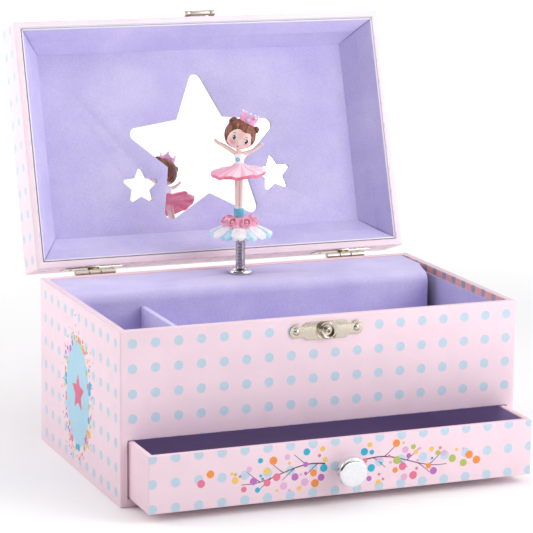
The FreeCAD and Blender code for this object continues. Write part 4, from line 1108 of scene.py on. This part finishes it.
PETALS = 14
petals = [petal(TAU * (k + 0.35) / PETALS, (0, 1, 0, 2)[k % 4], 0.35 * ((k + 1) % 2)) for k in range(PETALS)]
core = lathe([(2.0, 88.9), (9.0, 88.5), (10.6, 89.4), (9.0, 91.6), (6.5, 93.0), (2.0, 93.4)], 64)
petals.append((*core, 3))
skirt = piece("dancer_base_petals", petals, [WHITE_PAINT, BLUE_PAINT, SKY_PAINT, PEACH], "dancer",
              ("dancer_base_skirt",), FIGURE, sharp_deg=55)


def rose(x, y, z, size, lean, seed):
    """A rolled bud wrapped by three rings of overlapping petals."""
    rng = random.Random(seed)
    parts = [(*ball((0, 0, 0.25), (0.42, 0.42, 0.62), 8, 14), 1)]
    for ring, (count, reach, cup) in enumerate(((3, 0.55, 1.25), (4, 0.8, 1.0), (6, 1.05, 0.72))):
        for k in range(count):
            turn = TAU * (k + rng.uniform(-0.1, 0.1)) / count + ring * 0.5
            rings = []
            for i in range(6):
                s = i / 5
                polar = 0.35 + cup * s
                rings.append([])
                for shell in (0.0, 0.09):
                    row = range(7) if shell == 0 else range(6, -1, -1)
                    for j in row:
                        w = (-1 + j / 3) * (3.0 / count)
                        r = reach * (0.62 + 0.38 * sin(polar)) + shell - 0.12 * s ** 3 * ring
                        zz = -0.75 + 1.45 * s * (1.15 - 0.22 * ring) - 0.16 * (j / 3 - 1) ** 2
                        rings[-1].append((r * cos(turn + w), r * sin(turn + w), zz))
            parts.append((*loft(rings), 0 if (k + ring) % 3 else 1))
    place = Matrix.Translation((x, y, z)) @ Matrix.Rotation(atan2(y, x), 4, "Z") @ Matrix.Rotation(
        lean, 4, "Y") @ Matrix.Scale(size, 4)
    return [(*moved(part[:2], place), part[2]) for part in parts]


roses = []
for k in range(7):
    a = TAU * (k + 0.5) / 7 - pi / 2
    roses += rose(-0.35 + 5.5 * cos(a), 5.5 * sin(a), 94.6, 2.95, radians(48), k)
roses.append((*lathe([(1.6, 92.4), (6.4, 92.6), (5.4, 95.6), (3.0, 97.0), (1.6, 97.2)], 48), 1))
rose_ring = piece("dancer_rose_ring", roses, [ROSE, ROSE_DEEP], "dancer", matrix=FIGURE,
                  sharp_deg=55)
for soft in (tutu, skirt, rose_ring):
    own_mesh(soft)

# ---- stage, light and camera ----
scene = bpy.context.scene
scene.view_settings.view_transform = "Standard"
world = bpy.data.worlds.new("studio")
scene.world = world
world.use_nodes = True

# direction, cosine where it starts, cosine where it is full, strength
LOBES = [((0, 0, 1), 0.4, 1.0, 1.05), ((1, -0.1, 0.25), 0.4, 1.0, 1.15),
         ((-0.75, -0.55, 0.45), -0.3, 1.0, 0.12), ((0.363, -0.855, 0.368), 0.93, 0.975, 1.1)]


def light_tent():
    """White cloth glowing overhead, to the right, faintly to the left and in one patch in front."""
    n = Nodes(world.node_tree)
    where = n.add("ShaderNodeTexCoord").outputs["Generated"]
    total = 0.0
    for direction, low, high, strength in LOBES:
        facing = n.vector("DOT_PRODUCT", where, tuple(Vector(direction).normalized()))
        total = n.math("ADD", total, n.step(facing, low, high, strength))
    back = n.tree.nodes["Background"]
    n.link(total, back.inputs["Strength"])
    back.inputs["Color"].default_value = (1, 1, 1, 1)


light_tent()


def area_light(name, place, size, power):
    """A round soft light aimed at the box."""
    data = bpy.data.lights.new(name, "AREA")
    data.shape, data.size, data.energy = "DISK", size, power
    obj = new_object(name, data)
    obj.location = place
    obj.rotation_euler = (Vector(place) - Vector((0, 0, 0.05))).to_track_quat("Z", "Y").to_euler()


area_light("left_soft", (-0.55, 0.25, 0.34), 0.4, 1.75)
area_light("right_soft", (0.42, -0.42, 0.34), 0.35, 1.25)


def add_floor():
    """A plain pale floor that brightens to white away from the box: it glows, a painted light, from nothing
    near the box to full further out.
    """
    n = Surface("studio_floor")
    n.colour(n.ramp(n.noise(3.0), [(0.3, srgb(250, 250, 251)), (0.7, srgb(253, 253, 253))]))
    n.set(rough=0.6, specular=0.1)
    n.shader.inputs["Emission Color"].default_value = (1, 1, 1, 1)
    n.link(n.step(n.vector("LENGTH", n.place()), 0.27, 1.0), n.shader.inputs["Emission Strength"])
    mesh = bpy.data.meshes.new("studio_floor")
    edge = 12.0
    corners = [(-edge, -edge, 0), (edge, -edge, 0), (edge, edge, 0), (-edge, edge, 0)]
    mesh.from_pydata(corners, [], [(0, 1, 2, 3)])
    mesh.materials.append(n.material)
    new_object("studio_floor", mesh)


add_floor()


def add_camera():
    az, el, roll = radians(-21.74), radians(11.50), radians(0.50)
    back = Vector((sin(az) * cos(el), -cos(az) * cos(el), sin(el)))
    right = Vector((cos(az), sin(az), 0))
    up = back.cross(right)
    rolled_right = right * cos(roll) + up * sin(roll)
    rolled_up = up * cos(roll) - right * sin(roll)
    data = bpy.data.cameras.new("camera")
    data.lens, data.sensor_width, data.clip_start, data.clip_end = 166.95, 36.0, 0.05, 60.0
    obj = new_object("camera", data)
    obj.matrix_world = Matrix.Translation((-0.38531, -0.95716, 0.29218)) @ Matrix(
        (rolled_right, rolled_up, back)).transposed().to_4x4()
    scene.camera = obj


add_camera()

# ---- CAD nodes that stay take a finish from their slot ----
finishes = {"lining": FLOCK, "drawer_lining": FLOCK_DARK_GLOWING, "mirror": MIRROR, "plated": NICKEL, "brass": BRASS,
            "steel": STEEL, "dark_steel": SPRING_STEEL, "wrap": PAPER_PLAIN}
for row in frame["record"]["subparts"]:
    obj = frame["nodes"][row["node"]]
    finish = finishes.get(row["material_slot"])
    if finish is None:
        finish = painted("painted_" + row["material_slot"], srgb(240, 190, 180))
        finishes[row["material_slot"]] = finish
    for polygon in obj.data.polygons:
        polygon.material_index = 0
    obj.data.materials.clear()
    obj.data.materials.append(finish)
